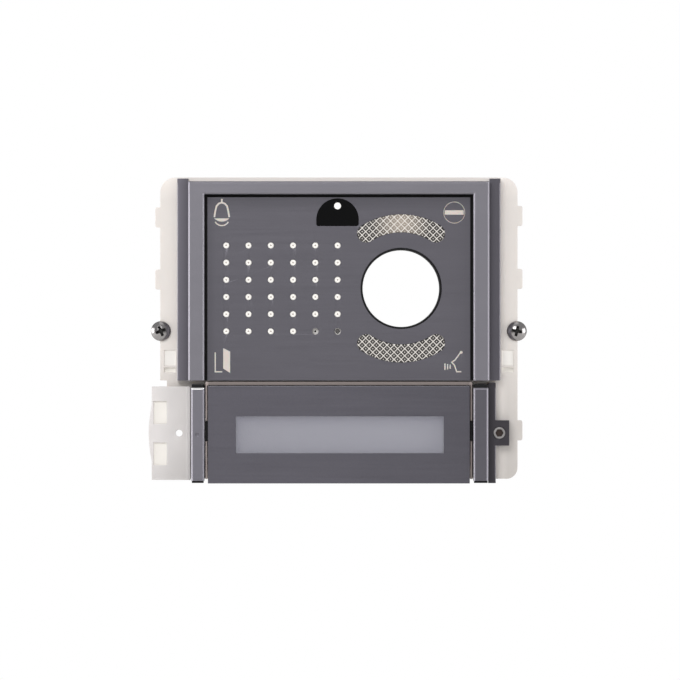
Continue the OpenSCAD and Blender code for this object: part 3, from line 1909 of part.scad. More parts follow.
// Captive pan-head screw: head, neck through the ear and thread behind it
module mounting_screw(x) {
    head_back = chassis_y - mount_head_gap;
    head_front = head_back - mount_head_t;
    difference() {
        turned(x, 0)
            polygon(concat(
                [[0, mount_thread_l]],
                [[mount_thread_r - mount_tip, mount_thread_l]],
                [[mount_thread_r, mount_thread_l - mount_tip]],
                [[mount_thread_r, mount_thread_start]],
                [[mount_neck_r, mount_thread_start]],
                [[mount_neck_r, head_back]],
                [[mount_head_r, head_back]],
                dome_points(mount_head_r, head_back - mount_head_edge, mount_head_t - mount_head_edge)
            ));
        for (turn = [0, 90]) {
            translate([x, head_front + cross_t, 0])
                rotate([90, turn, 0])
                    linear_extrude(cross_t + over)
                        square([cross_l, cross_w], center = true);
        }
    }
}

module mounting_screw_left() {
    color([0.55, 0.55, 0.56])
        mounting_screw(-screw_x);
}

module mounting_screw_right() {
    color([0.55, 0.55, 0.56])
        mounting_screw(screw_x);
}

// Small slotted screw from the outer face of its head to its tip
module small_screw(x, z, top, tip) {
    into = sign(tip - top);
    difference() {
        union() {
            bar(x, z, small_head_r, min(top, top + into * small_head_t), max(top, top + into * small_head_t));
            bar(x, z, small_screw_r, min(top + into * small_head_t / 2, tip), max(top + into * small_head_t / 2, tip));
        }
        block(
            x - small_head_r - over,
            x + small_head_r + over,
            min(top - into * over, top + into * drive_slot_t),
            max(top - into * over, top + into * drive_slot_t),
            z - drive_slot_w / 2,
            z + drive_slot_w / 2
        );
    }
}

module frame_screws() {
    color([0.7, 0.7, 0.72])
        for (p = concat(frame_screw_places, left_screw_places, right_screw_places)) {
            small_screw(p[0], p[1], -small_head_sink, chassis_y - small_screw_bite + fixed_gap);
        }
}

module board_screws() {
    color([0.7, 0.7, 0.72]) {
        for (p = post_places) {
            small_screw(p[0], p[1], -small_head_sink, board_y + board_t - small_screw_bite + fixed_gap);
        }
        for (p = board_screw_places) {
            small_screw(p[0], p[1], button_board_y - small_head_t, -small_head_sink);
        }
    }
}

module main_board_screws() {
    color([0.7, 0.7, 0.72])
        for (p = standoff_places) {
            small_screw(
                p[0],
                p[1],
                main_board_y - small_head_t,
                main_board_back + small_screw_bite - housing_wall / 2 - fixed_gap
            );
        }
}

module housing_screws() {
    color([0.7, 0.7, 0.72])
        for (p = boss_places) {
            small_screw(p[0], p[1], housing_d - small_head_sink, boss_split_y - small_screw_bite + fixed_gap);
        }
}

chassis();
rear_housing();
upper_frame();
front_plate();
plate_seal();
plate_carrier();
camera_collar();
sensor_window();
sensor_light_pipe();
upper_illuminator();
lower_illuminator();
bell_light_guide();
busy_light_guide();
door_light_guide();
talk_light_guide();
speaker_basket();
speaker_cone();
speaker_magnet();
speaker_foam_ring();
microphone();
microphone_boot();
light_board();
light_board_leds();
lower_rail_left();
lower_rail_right();
rail_end_caps();
lock_screw();
call_button();
button_carrier();
carrier_pins();
button_lens();
button_guide_frame();
button_springs();
switch_body();
switch_plunger();
button_board();
backlight_leds();
card_tray();
name_card();
main_board();
main_board_parts();
terminal_header();
terminal_plug();
terminal_screws();
bus_socket();
trimmer_bases();
speaker_trimmer();
microphone_trimmer();
mounting_screw_left();
mounting_screw_right();
frame_screws();
board_screws();
main_board_screws();
housing_screws();
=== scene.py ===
"""Looks of a video door intercom panel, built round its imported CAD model.

Everything is in metres and in the frame of the CAD: +Z is up and the front faces -Y.
"""

import json
import math

import bmesh
import bpy
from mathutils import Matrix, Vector

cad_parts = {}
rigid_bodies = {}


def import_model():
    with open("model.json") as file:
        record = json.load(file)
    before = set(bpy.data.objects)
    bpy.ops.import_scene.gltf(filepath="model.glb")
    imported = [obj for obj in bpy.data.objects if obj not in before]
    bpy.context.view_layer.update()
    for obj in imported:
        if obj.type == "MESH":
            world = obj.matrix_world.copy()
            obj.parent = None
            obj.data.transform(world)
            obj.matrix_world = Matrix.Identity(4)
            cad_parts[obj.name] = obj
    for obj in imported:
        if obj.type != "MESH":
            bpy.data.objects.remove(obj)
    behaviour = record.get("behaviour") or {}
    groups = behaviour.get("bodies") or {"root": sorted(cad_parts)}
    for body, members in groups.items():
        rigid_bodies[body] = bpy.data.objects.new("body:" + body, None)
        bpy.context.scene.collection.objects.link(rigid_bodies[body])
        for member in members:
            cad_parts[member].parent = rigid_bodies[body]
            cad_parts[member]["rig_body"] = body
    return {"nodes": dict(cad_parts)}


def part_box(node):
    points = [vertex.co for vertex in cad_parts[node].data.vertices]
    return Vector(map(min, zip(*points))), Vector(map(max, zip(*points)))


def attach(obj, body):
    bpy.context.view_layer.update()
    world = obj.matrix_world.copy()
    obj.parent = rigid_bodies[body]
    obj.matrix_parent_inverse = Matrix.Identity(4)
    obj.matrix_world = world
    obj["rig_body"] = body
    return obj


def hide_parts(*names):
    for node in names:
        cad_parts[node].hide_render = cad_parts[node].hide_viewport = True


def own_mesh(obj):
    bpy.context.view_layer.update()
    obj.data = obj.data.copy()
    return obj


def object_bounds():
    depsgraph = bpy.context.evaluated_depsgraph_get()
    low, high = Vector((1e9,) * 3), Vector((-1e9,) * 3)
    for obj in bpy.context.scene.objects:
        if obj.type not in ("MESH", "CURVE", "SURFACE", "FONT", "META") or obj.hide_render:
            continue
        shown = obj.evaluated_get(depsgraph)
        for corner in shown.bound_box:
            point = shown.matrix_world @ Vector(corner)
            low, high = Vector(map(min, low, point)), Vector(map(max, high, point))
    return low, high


bl_info = {
    "name": "Video Door Panel",
    "version": (1, 0, 0),
    "blender": (4, 5, 0),
    "location": "3D View > Sidebar > Door Panel",
    "description": "Builds the pieces, finishes and stage of a video door intercom panel",
    "category": "Object",
}

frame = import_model()
CAD_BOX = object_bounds()
FRONT = CAD_BOX[0].y  # depth of the foremost faces, which are the rails'

MM = 0.001
WELD = 0.002 * MM  # vertices closer than this are one
FLAT = math.radians(0.5)  # faces that meet at less than this are one
CORNER = math.radians(32)  # edges sharper than this stay crisp
MOST_CORNERS = 40  # faces with more corners are cut up first, so that rounding can't fold them

# How far the faces of a patch turn to the front at the least
TO_FRONT, HALF_TO_FRONT, PARTLY_TO_FRONT, ALL_ROUND = 0.9, 0.5, 0.3, -1

# Places of a mix node's sockets, which has a set of them for each kind of value
NUMBER_A, NUMBER_B = 2, 3
COLOUR_A, COLOUR_B, MIXED_COLOUR = 6, 7, 2
NOISE_SPAN = {"From Min": 0.3, "From Max": 0.7}  # nearly all values of a noise lie in it


def linear(code):
    """The linear colour of an sRGB hex code, with full alpha."""
    parts = [int(code[i : i + 2], 16) / 255 for i in (0, 2, 4)]
    return (*[p / 12.92 if p <= 0.04045 else ((p + 0.055) / 1.055) ** 2.4 for p in parts], 1.0)


def colour_property(name, description, code):
    return bpy.props.FloatVectorProperty(
        name=name, description=description, subtype="COLOR", size=4, min=0, max=1, default=linear(code)
    )


def length_property(name, description, millimetres):
    return bpy.props.FloatProperty(
        name=name, description=description, unit="LENGTH", precision=5, default=millimetres * MM
    )


def number_property(name, description, value, unit="NONE"):
    return bpy.props.FloatProperty(name=name, description=description, min=0, unit=unit, default=value)


class DoorPanelColours(bpy.types.PropertyGroup):
    """Colours of the parts that a buyer can choose, and of painted light and shade on some of them."""

    shell: colour_property("Shell", "Moulded cream shell, wings and carrier", "E9E3DE")
    # paler than the shell: painted light, also in shaded slots and on the carrier's pips
    painted_light_shell: colour_property("Thin shell", "Shell where light comes through its thin wall", "FAF7F2")
    frame: colour_property("Frame", "Satin paint of the raised rails", "87858D")
    left_rail: colour_property("Lower left rail", "Satin paint of the lower left rail", "807E87")
    # painted highlight on the rails' chamfers
    edge: colour_property("Edges", "Bright chamfers of the rails", "95929B")
    # darker than the rails: painted shade on the low flanges
    flange: colour_property("Flanges", "Thin paint on the upper frame's low flanges", "7B7882")
    # darker than the other rails: painted shade, as the light falls from the left
    lug_rail: colour_property("Lug rail", "Satin paint of the lower right rail", "66646C")
    # painted shade on the low flange and lug
    lug: colour_property("Lug", "Thin paint on that rail's flange and lug", "454248")
    plate: colour_property("Plate", "Satin paint of the front plate", "69676F")
    button: colour_property("Button", "Satin paint of the call button", "65636C")
    # taupe: painted shade of the gap between plate and button
    guide: colour_property("Guide frame", "Moulded frame round the call button", "7C726F")
    tray: colour_property("Tray", "Frosted plastic of the card tray", "E0DCDB")
    # paler than the tray: painted light coming through the thin panes
    pane: colour_property("Tray panes", "Tray where its wall is thin", "F2EEE8")
    window: colour_property("Window", "Smoked plastic of the name window", "9C9CAA")
    symbol: colour_property("Symbols", "Opal plastic of the symbols", "D3C9C1")


class DoorPanelSizes(bpy.types.PropertyGroup):
    """Sizes of the details that are only in the looks."""

    edge_round: length_property("Edge round", "Round on the edges of moulded pieces", 0.2)
    metal_round: length_property("Metal edge round", "Round on the edges of metal pieces", 0.12)
    hole_pitch_x: length_property("Hole pitch across", "Distance between columns of speaker holes", 8.61)
    hole_pitch_z: length_property("Hole pitch up", "Distance between rows of speaker holes", 6.64)
    gauze_radius: length_property("Gauze radius", "Radius of the gauze in each sound hole", 0.36)
    gauze_sink: length_property("Gauze depth", "How far the gauze lies behind the speaker holes' pips", 0.12)
    lens_inner: length_property("Lens inner radius", "Inner radius of the illuminators", 21.7)
    lens_outer: length_property("Lens outer radius", "Outer radius of the illuminators", 28.6)
    lens_pitch: length_property("Prism pitch", "Distance between the lines of the prism pattern", 1.94)
    lens_relief: length_property("Prism depth", "Depth of each prism cell", 0.55)
    lens_half_angle: bpy.props.FloatProperty(
        name="Lens half angle",
        description="Half of the angle between an illuminator's round ends",
        subtype="ANGLE",
        default=math.radians(32.5),
    )
    thread_pitch: length_property("Thread pitch", "Pitch of the mounting screws", 0.7)
    thread_depth: length_property("Thread depth", "Depth of the mounting screws' thread", 0.38)
    spring_radius: length_property("Spring radius", "Mean radius of the return springs", 1.95)
    spring_wire: length_property("Spring wire radius", "Radius of the springs' wire", 0.25)


class DoorPanelStage(bpy.types.PropertyGroup):
    """Camera, floor and light."""

    distance: length_property("Camera distance", "From the camera to the panel's front", 4000)
    view_width: length_property("View width", "Width of the picture at the panel's front", 262.7)
    view_right: length_property("View right", "How far right of the panel's middle the camera looks", 0.45)
    view_down: length_property("View down", "How far below the mounting screws the camera looks", 3.45)
    floor_down: length_property("Floor down", "How far below the mounting screws the floor lies", 300)
    floor_radius: length_property("Floor radius", "Radius of the round floor", 1500)
    ambient: number_property("Ambient", "Strength of the light from all round", 0.6)
    gloss_low: number_property("Gloss low", "Brightness reflected from below", 0.15)
    gloss_high: number_property("Gloss high", "Brightness reflected from above", 0.45)
    lamp_width: length_property("Lamp width", "Width of each square lamp", 500)
    key: number_property("Key lamp", "Power of the lamp in front, at the upper left", 4.0, "POWER")
    side: number_property("Side lamps", "Power of each lamp beside the panel", 3.0, "POWER")
    top: number_property("Top lamp", "Power of the lamp above the panel", 0.45, "POWER")


def colours():
    return bpy.context.scene.door_panel_colours


def sizes():
    return bpy.context.scene.door_panel_sizes


def supply(material, socket, value):
    """Sets a socket to a value, or links it to the socket that feeds it."""
    if isinstance(value, bpy.types.NodeSocket):
        material.node_tree.links.new(value, socket)
    else:
        socket.default_value = value


def add(material, kind, inputs=None, **settings):
    """Adds one shader node. Each input is a value or the socket that feeds it."""
    node = material.node_tree.nodes.new(kind)
    for name, value in settings.items():
        setattr(node, name, value)
    for name, value in (inputs or {}).items():
        supply(material, node.inputs[name], value)
    return node


def blank(name):
    """The material of that name, with its shader and coordinates where it is new, and else None twice."""
    found = bpy.data.materials.get(name)
    if found:
        return found, None, None
    material = bpy.data.materials.new(name)
    material.use_nodes = True
    at = add(material, "ShaderNodeTexCoord").outputs["Object"]
    return material, material.node_tree.nodes["Principled BSDF"], at


def feed(material, shader, **inputs):
    """Sets or links the shader's own sockets."""
    for name, value in inputs.items():
        supply(material, shader.inputs[name.replace("_", " ")], value)


def shaded(colour, share):
    return (*[c * share for c in colour[:3]], 1.0)


def mottled(material, colour, share, size, coordinates):
    """Colour that wanders between itself and a darker share, in patches of a size in metres."""
    noise = add(material, "ShaderNodeTexNoise", {"Vector": coordinates, "Scale": 1 / size, "Detail": 3.0})
    mixed = {"Factor": noise.outputs[0], COLOUR_A: shaded(colour, share), COLOUR_B: colour}
    return add(material, "ShaderNodeMix", mixed, data_type="RGBA").outputs[MIXED_COLOUR]


def painted_light_faded(material, base, coordinates, painted_light_fades):
    """Colour with painted light and shade. A fade is an axis, its start and end there in millimetres, and
    its last share.
    """
    for axis, start, stop, share in painted_light_fades:
        along = add(material, "ShaderNodeSeparateXYZ", {"Vector": coordinates}).outputs[axis]
        span = {"From Min": start * MM, "From Max": stop * MM, "To Min": 1.0, "To Max": share}
        level = add(material, "ShaderNodeMapRange", {"Value": along, **span}).outputs[0]
        base = add(material, "ShaderNodeVectorMath", {0: base, "Scale": level}, operation="SCALE").outputs[0]
    return base


def grain_bump(material, coordinates, size, depth, strength=0.5):
    """Bump of a spark-eroded or blasted surface, with grains of a size and depth in metres."""
    noise = add(material, "ShaderNodeTexNoise", {"Vector": coordinates, "Scale": 1 / size, "Detail": 2.0})
    raised = {"Height": noise.outputs[0], "Distance": depth, "Strength": strength}
    return add(material, "ShaderNodeBump", raised).outputs["Normal"]


def refined(material, **inputs):
    """The material with more of its shader's own sockets set."""
    feed(material, material.node_tree.nodes["Principled BSDF"], **inputs)
    return material


def moulded(name, colour, roughness, grain=0.35 * MM, share=0.95, painted_light_fades=()):
    """Moulded plastic: even colour, faint flow marks a few millimetres long, and a fine eroded grain, which
    is drawn coarser than the real one, so that it shows."""
    material, shader, at = blank(name)
    if shader:
        base = painted_light_faded(material, mottled(material, colour, share, 9 * MM, at), at, painted_light_fades)
        bump = grain_bump(material, at, grain, 0.02 * MM)
        feed(material, shader, Base_Color=base, Normal=bump, Roughness=roughness, IOR=1.53)
    return material


def shell_plastic():
    # ASA, moulded with a fine eroded texture: soft, warm white, light comes a little way through it
    painted_light_fades = (
        ("Z", -5, -57, 0.76),  # painted shade towards the bottom
        ("Z", 51, 58, 1.1),  # painted light along the top edge, against the frame's shadow
        ("X", 46, 60.2, 1.1),  # painted light beside the right flange, against its shadow
        ("X", 62.5, 65.5, 0.84),  # and painted shade on the right wing
    )
    material = moulded("moulded_asa_shell", colours().shell, 0.5, painted_light_fades=painted_light_fades)
    reach = (1.0, 0.9, 0.8)
    return refined(material, Subsurface_Weight=0.12, Subsurface_Scale=1.5 * MM, Subsurface_Radius=reach)


def painted_light_shell_plastic():
    # the same ASA, paler as painted light: where its floor is half a millimetre thin, in shaded slots and on
    # the carrier's pips
    return moulded("asa_painted_light", colours().painted_light_shell, 0.5)


def painted_metal(name, colour, brushing=0.0, painted_light_fades=()):
    """Satin metallic paint on die-cast zinc: fine flakes, a soft sheen and very faint long brushing."""
    material, shader, at = blank(name)
    if shader:
        flake = 0.22 * MM  # real flakes are finer and wouldn't show
        line_length = 28 * MM
        line_width = 0.5 * MM
        stretch = (1 / line_length, 1 / line_length, 1 / line_width)
        stretched = add(material, "ShaderNodeMapping", {"Vector": at, "Scale": stretch}).outputs["Vector"]
        lines = add(material, "ShaderNodeTexNoise", {"Vector": stretched, "Scale": 1.0, "Detail": 3.0})
        flakes = add(material, "ShaderNodeTexNoise", {"Vector": at, "Scale": 1 / flake, "Detail": 1.0})
        noises = ((flakes, 0.93, 1.05), (lines, 1 - brushing, 1 + brushing), (lines, 0.34, 0.42))
        levels = []
        for noise, low, high in noises:
            span = {"Value": noise.outputs[0], **NOISE_SPAN, "To Min": low, "To Max": high}
            levels.append(add(material, "ShaderNodeMapRange", span).outputs[0])
        flake_level, line_level, rough = levels
        level = add(material, "ShaderNodeMath", {0: flake_level, 1: line_level}, operation="MULTIPLY")
        tinted = {0: mottled(material, colour, 0.93, 26 * MM, at), "Scale": level.outputs[0]}
        tint = add(material, "ShaderNodeVectorMath", tinted, operation="SCALE").outputs[0]
        base = painted_light_faded(material, tint, at, painted_light_fades)
        bump = grain_bump(material, at, flake, 0.006 * MM, 0.35)
        coat = {"Coat_Weight": 0.12, "Coat_Roughness": 0.25}
        feed(material, shader, Base_Color=base, Metallic=0.55, Roughness=rough, Normal=bump, **coat)
    return material


def frosted_plastic():
    # polycarbonate, moulded in a blasted tool: milky, cooler and warmer in clouds where it is looked through
    painted_light_fades = (
        ("X", -70, -57, 0.82),  # painted shade towards the rail that it slides under
        ("Z", -42, -57, 0.88),  # painted shade towards the bottom
    )
    material = moulded("frosted_polycarbonate", colours().tray, 0.42, 0.25 * MM, 0.9, painted_light_fades)
    reach = (1.0, 0.98, 0.96)
    return refined(material, Subsurface_Weight=0.25, Subsurface_Scale=2 * MM, Subsurface_Radius=reach)


def painted_light_frosted_plastic():
    # the same polycarbonate at the panes, where it is half a millimetre thick, paler: painted light coming
    # through
    return moulded("frosted_polycarbonate_painted_light", colours().pane, 0.42, 0.25 * MM, 0.97)


def guide_painted_shade_and_light():
    # glass-filled nylon that guides the button, taupe as painted shade of the gap round it; its two sides
    # paler as painted light
    painted_light_fades = (
        ("X", -50.3, -50.7, 2.0),  # painted light on the left side
        ("X", 50.3, 50.7, 1.4),  # painted light on the right side
    )
    return moulded("nylon_painted_shade_and_light", colours().guide, 0.5, 0.4 * MM, 0.9, painted_light_fades)


def smoked_plastic():
    # acrylic sheet, smoked and fine-matt: half see-through, so the card behind it shows as grey
    material, shader, at = blank("smoked_acrylic")
    if shader:
        base = mottled(material, colours().window, 0.96, 18 * MM, at)
        bump = grain_bump(material, at, 0.3 * MM, 0.004 * MM, 0.25)
        feed(material, shader, Base_Color=base, Roughness=0.3, IOR=1.49, Alpha=0.42, Normal=bump)
    return material


def opal_plastic():
    # opal acrylic: milky light guide with a polished end
    material = moulded("opal_acrylic", colours().symbol, 0.3, 0.5 * MM, 0.98)
    return refined(material, Subsurface_Weight=0.3, Subsurface_Scale=1 * MM)


def light_pipe_plastic():
    # clear acrylic rod with a matt white end
    return moulded("matt_acrylic_end", linear("FBFAF7"), 0.4, 0.5 * MM, 0.99)


def prism_plastic(name, warm_at):
    """Clear acrylic over a dark board, moulded with square pyramids, with painted light and shade on its
    cells and a painted warm patch of lamp light.
    """
    material, shader, at = blank(name)
    if shader:
        cell = add(material, "ShaderNodeAttribute", attribute_name="prism_cell")
        ramp = add(material, "ShaderNodeValToRGB", {"Fac": cell.outputs["Fac"]})
        # painted light and shade of the prisms: from the bright flat in the middle of a cell, over its dark
        # slopes, to its bright ridges
        stops = (
            (0.0, "F4F0EA"),
            (0.15, "D2CCC4"),
            (0.27, "2A282A"),
            (0.62, "34312F"),
            (0.84, "6E6863"),
            (0.94, "F2EEE8"),
        )
        ramp.color_ramp.elements.remove(ramp.color_ramp.elements[1])
        for level, code in stops:
            stop = ramp.color_ramp.elements[0] if level == 0.0 else ramp.color_ramp.elements.new(level)
            stop.color = linear(code)
        away = add(material, "ShaderNodeVectorMath", {0: at, 1: warm_at}, operation="DISTANCE")
        span = {"From Min": 2 * MM, "From Max": 11 * MM, "To Min": 0.6, "To Max": 0.0}
        warmth = add(material, "ShaderNodeMapRange", {"Value": away.outputs["Value"], **span})
        mixed = {"Factor": warmth.outputs[0], COLOUR_A: ramp.outputs["Color"], COLOUR_B: linear("C9BCAE")}
        warmed = add(material, "ShaderNodeMix", mixed, data_type="RGBA", blend_type="LIGHTEN")
        base = warmed.outputs[MIXED_COLOUR]
        coat = {"Coat_Weight": 0.4, "Coat_Roughness": 0.08}
        feed(material, shader, Base_Color=base, Roughness=0.16, IOR=1.49, **coat)
    return material


def black_gloss_plastic():
    # infrared-clear acrylic: black, polished, hardly any texture
    material = moulded("polished_black_acrylic", linear("070708"), 0.12, 0.6 * MM)
    return refined(material, Specular_IOR_Level=0.2)


def black_plastic():
    # glass-filled nylon: near black, dull, with a coarser grain
    material = moulded("moulded_black_nylon", linear("0D0D10"), 0.55, 0.4 * MM, 0.8)
    return refined(material, Specular_IOR_Level=0.25)


def recess_shade():
    # dark in a driver's recess: painted shade
    return moulded("recess_painted_shade", linear("1B1919"), 0.5, 0.3 * MM, 0.8)


def gauze():
    # acoustic gauze, woven polyester: pale grey
    return moulded("acoustic_gauze", linear("C4BDB7"), 0.8, 0.12 * MM, 0.75)


def rubber():
    # silicone rubber: black and quite matt
    return moulded("black_silicone_rubber", linear("0A0A0B"), 0.8, 0.5 * MM, 0.7)


def plated_steel(name, code, roughness):
    """Zinc-plated or spring steel: bright, with fine turning marks and a cloudy roughness."""
    material, shader, at = blank(name)
    if shader:
        clouds = add(material, "ShaderNodeTexNoise", {"Vector": at, "Scale": 1 / (1.6 * MM), "Detail": 3.0})
        span = {"Value": clouds.outputs[0], "To Min": roughness * 0.7, "To Max": roughness * 1.4}
        rough = add(material, "ShaderNodeMapRange", span).outputs[0]
        base = mottled(material, linear(code), 0.8, 0.9 * MM, at)
        bump = grain_bump(material, at, 0.3 * MM, 0.006 * MM, 0.3)
        feed(material, shader, Base_Color=base, Metallic=1.0, Roughness=rough, Normal=bump)
    return material


def zinc_steel():
    # zinc plating, bright from the barrel: grey with sharp highlights
    return plated_steel("zinc_plated_steel", "A9A6A6", 0.2)


def satin_steel():
    # the same plating, left matt: an even pale ring
    return plated_steel("satin_zinc_plated_steel", "AEABAB", 0.5)


def spring_steel():
    # spring wire, drawn: plain grey with a soft shine
    return plated_steel("drawn_spring_steel", "A8A7A5", 0.3)


def solder_mask():
    # glass-epoxy board under green solder mask, with copper tracks just raised under it
    material, shader, at = blank("solder_masked_board")
    if shader:
        upright = (math.pi / 2, 0, 0)
        swung = add(material, "ShaderNodeMapping", {"Vector": at, "Rotation": upright}).outputs[0]
        greens = {"Color1": linear("0E5236"), "Color2": linear("0C4A31"), "Mortar": linear("16704A")}
        bricks = {"Vector": swung, "Scale": 1 / (6 * MM), "Mortar Size": 0.05, **greens}
        tracks = add(material, "ShaderNodeTexBrick", bricks)
        base = tracks.outputs["Color"]
        raised = {"Height": tracks.outputs["Fac"], "Distance": 0.03 * MM}
        bump = add(material, "ShaderNodeBump", raised).outputs["Normal"]
        feed(material, shader, Base_Color=base, Roughness=0.32, IOR=1.55, Normal=bump)
    return material


def plain_card():
    # uncoated card: white, with paper fibres
    return moulded("uncoated_card", linear("F4F3F0"), 0.85, 0.15 * MM, 0.985)


def cone_paper():
    # pressed paper pulp, dyed black
    return moulded("pressed_pulp", linear("1C1B1B"), 0.9, 0.3 * MM, 0.7)


def black_painted_steel():
    # pressed steel, dipped in black paint: smooth and half glossy
    return moulded("black_painted_steel", linear("2C2C2E"), 0.4, 0.3 * MM, 0.9)


def lamp_resin():
    # clear epoxy over yellow phosphor, cast: pale yellow and shiny
    return moulded("led_resin", linear("F0ECD2"), 0.25, 0.5 * MM)


def component_resin():
    # filled epoxy, moulded round a chip: black and dull
    return moulded("epoxy_component", linear("1E1E20"), 0.45, 0.3 * MM)


def green_nylon():
    # nylon of terminal blocks, moulded: plain green, half glossy
    return moulded("moulded_green_nylon", linear("2C7A4B"), 0.4, 0.3 * MM)


def blue_plastic():
    # polyester case of a trimmer, moulded: plain blue, half glossy
    return moulded("moulded_blue_case", linear("2F4F9C"), 0.4, 0.3 * MM)


def white_plastic():
    # uncoloured nylon, moulded: warm white and slightly dull
    return moulded("moulded_white_nylon", linear("E8E6E0"), 0.45, 0.3 * MM)


def frame_paint():
    # full coat on the raised rails: the palest of the greys
    return painted_metal("satin_paint_on_rails", colours().frame)


def flange_shade_paint():
    # on the low flanges, darker than the rails as painted shade: pale only at the left one's outer side, and
    # darker inward
    return painted_metal("satin_paint_painted_shade_on_flanges", colours().flange, painted_light_fades=(("X", -62.3, -58.4, 0.62),))


def left_rail_paint():
    # full coat, a shade darker than on the upper frame
    return painted_metal("satin_paint_on_left_rail", colours().left_rail)


def edge_highlight_paint():
    # the same paint, paler along the chamfers: painted highlight
    return painted_metal("paint_with_painted_highlight_on_edges", colours().edge)


def cut_end_highlight_paint():
    # white: painted highlight on the chamfer across a rail's top end
    return painted_metal("painted_highlight_on_cut_ends", linear("FFFFFF"))


def lug_rail_shade_paint():
    # full coat on the lower right rail, darker still: painted shade, as the light falls from the left
    return painted_metal("satin_paint_on_lug_rail", colours().lug_rail)


def lug_shade_paint():
    # darker still on the low flange and lug: painted shade
    return painted_metal("satin_paint_on_lug", colours().lug)


def socket_shade():
    # bare sintered steel at the bottom of the lock screw's socket, dark brown as painted shade of the deep
    # socket
    return moulded("socket_painted_shade", linear("3A2A24"), 0.35, 0.3 * MM, 0.8)


def plate_paint():
    # the same paint on brushed sheet steel, whose lines just show
    painted_light_fades = (
        ("Z", 46, 51.7, 0.78),  # painted shade under the frame's top bar
        ("X", -47.5, -50.8, 0.86),  # painted shade beside its left rail
    )
    return painted_metal("satin_paint_on_plate", colours().plate, 0.02, painted_light_fades)


def button_paint():
    # as on the plate, with painted shade a little darker towards the right
    return painted_metal("satin_paint_on_button", colours().button, 0.02, (("X", 0, 50, 0.88),))


def matt_white_paint():
    # emulsion on board, rolled: white, quite matt, with faint wide clouds
    material, shader, at = blank("matt_white_floor")
    if shader:
        base = mottled(material, linear("F3F2F0"), 0.99, 200 * MM, at)
        feed(material, shader, Base_Color=base, Roughness=0.9)
    return material


def linked(name, data):
    """A new object in the scene."""
    item = bpy.data.objects.new(name, data)
    bpy.context.scene.collection.objects.link(item)
    return item


def place(name, mesh, node, *others):
    """Puts a mesh in the scene in place of one or more CAD nodes, riding as the first one does."""
    piece = linked(name, mesh)
    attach(piece, frame["nodes"][node]["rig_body"])
    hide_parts(node, *others)
    return piece


def within(point, low, high):
    return all(low[i] <= point[i] <= high[i] for i in range(3))


def about(middle, reach):
    return (middle - reach, middle + reach)


def patch(across, deep, up, finish, facing):
    """A box by its spans along X, Y and Z, its faces' finish, and how far they turn to the front."""
    low, high = [Vector(corner) for corner in zip(across, deep, up)]
    return (low, high, finish, facing)


def dressed(name, node, finish, rounding=0.0, patches=(), chamfered=()):
    """A copy of a CAD node with rounded edges, and other finishes in its patches. Edges inside a box of
    chamfered, which ends with a width, are chamfered first."""
    shape = bmesh.new()
    shape.from_mesh(frame["nodes"][node].data)
    bmesh.ops.remove_doubles(shape, verts=shape.verts, dist=WELD)
    bmesh.ops.dissolve_limit(shape, angle_limit=FLAT, verts=shape.verts, edges=shape.edges)
    bmesh.ops.triangulate(shape, faces=[face for face in shape.faces if len(face.verts) > MOST_CORNERS])
    for low, high, width in chamfered:
        ends = [edge for edge in shape.edges if all(within(vert.co, low, high) for vert in edge.verts)]
        bmesh.ops.bevel(shape, geom=ends, offset=width, segments=1, affect="EDGES", clamp_overlap=False)
    if rounding:
        sharp = [edge for edge in shape.edges if edge.is_manifold and edge.calc_face_angle() > CORNER]
        bmesh.ops.bevel(
            shape, geom=sharp, offset=rounding, segments=2, profile=0.6, affect="EDGES", clamp_overlap=False
        )
    mesh = bpy.data.meshes.new(name)
    mesh.materials.append(finish)
    for _, _, patch_finish, _ in patches:
        if patch_finish.name not in mesh.materials:
            mesh.materials.append(patch_finish)
    for face in shape.faces:
        face.smooth = True
        face.material_index = 0
        centre = face.calc_center_median()
        for low, high, patch_finish, facing in patches:
            if within(centre, low, high) and -face.normal.y >= facing:
                face.material_index = mesh.materials.find(patch_finish.name)
    shape.to_mesh(mesh)
    shape.free()
    if "custom_normal" in mesh.attributes:
        mesh.attributes.remove(mesh.attributes["custom_normal"])
    mesh.set_sharp_from_angle(angle=CORNER)
    piece = place(name, mesh, node)
    shading = piece.modifiers.new("even_shading", "WEIGHTED_NORMAL")
    shading.keep_sharp = True
    return piece


def repaint(finish, *nodes):
    """Gives CAD nodes that stay as they are a finish."""
    for node in nodes:
        mesh = frame["nodes"][node].data
        mesh.materials.clear()
        mesh.materials.append(finish)


def directions(angle):
    """Out at an angle in the plane of the front, and square to that."""
    out = Vector((math.cos(angle), 0, math.sin(angle)))
    return out, Vector((-out.z, 0, out.x))


def on_ring(centre, radius, angle, depth):
    """The point at an angle on a circle about an axis along the depth."""
    return (centre.x + radius * math.cos(angle), depth, centre.z + radius * math.sin(angle))


def spun(shape, profile, centre, segments=64):
    """Turns a profile of (radius, depth) points about an axis along the depth, and closes its ends."""
    rings = []
    for radius, depth in profile:
        steps = segments if radius > WELD else 1
        angles = [2 * math.pi * i / steps for i in range(steps)]
        rings.append([shape.verts.new(on_ring(centre, radius, angle, depth)) for angle in angles])
    join_rings(shape, rings)


def join_rings(shape, rings):
    """Skins a row of rings of points; a ring of one point closes it."""
    for near, far in zip(rings, rings[1:]):
        for i in range(max(len(near), len(far))):
            j = i + 1
            corners = (near[i % len(near)], near[j % len(near)], far[j % len(far)], far[i % len(far)])
            unique = list(dict.fromkeys(corners))
            if len(unique) > 2:
                shape.faces.new(unique)


def finished_mesh(name, shape, finish, smooth=True):
    """Turns a bmesh into a mesh with outward faces and one finish."""
    bmesh.ops.recalc_face_normals(shape, faces=shape.faces)
    mesh = bpy.data.meshes.new(name)
    for face in shape.faces:
        face.smooth = smooth
    shape.to_mesh(mesh)
    shape.free()
    mesh.materials.append(finish)
    mesh.set_sharp_from_angle(angle=CORNER)
    return mesh


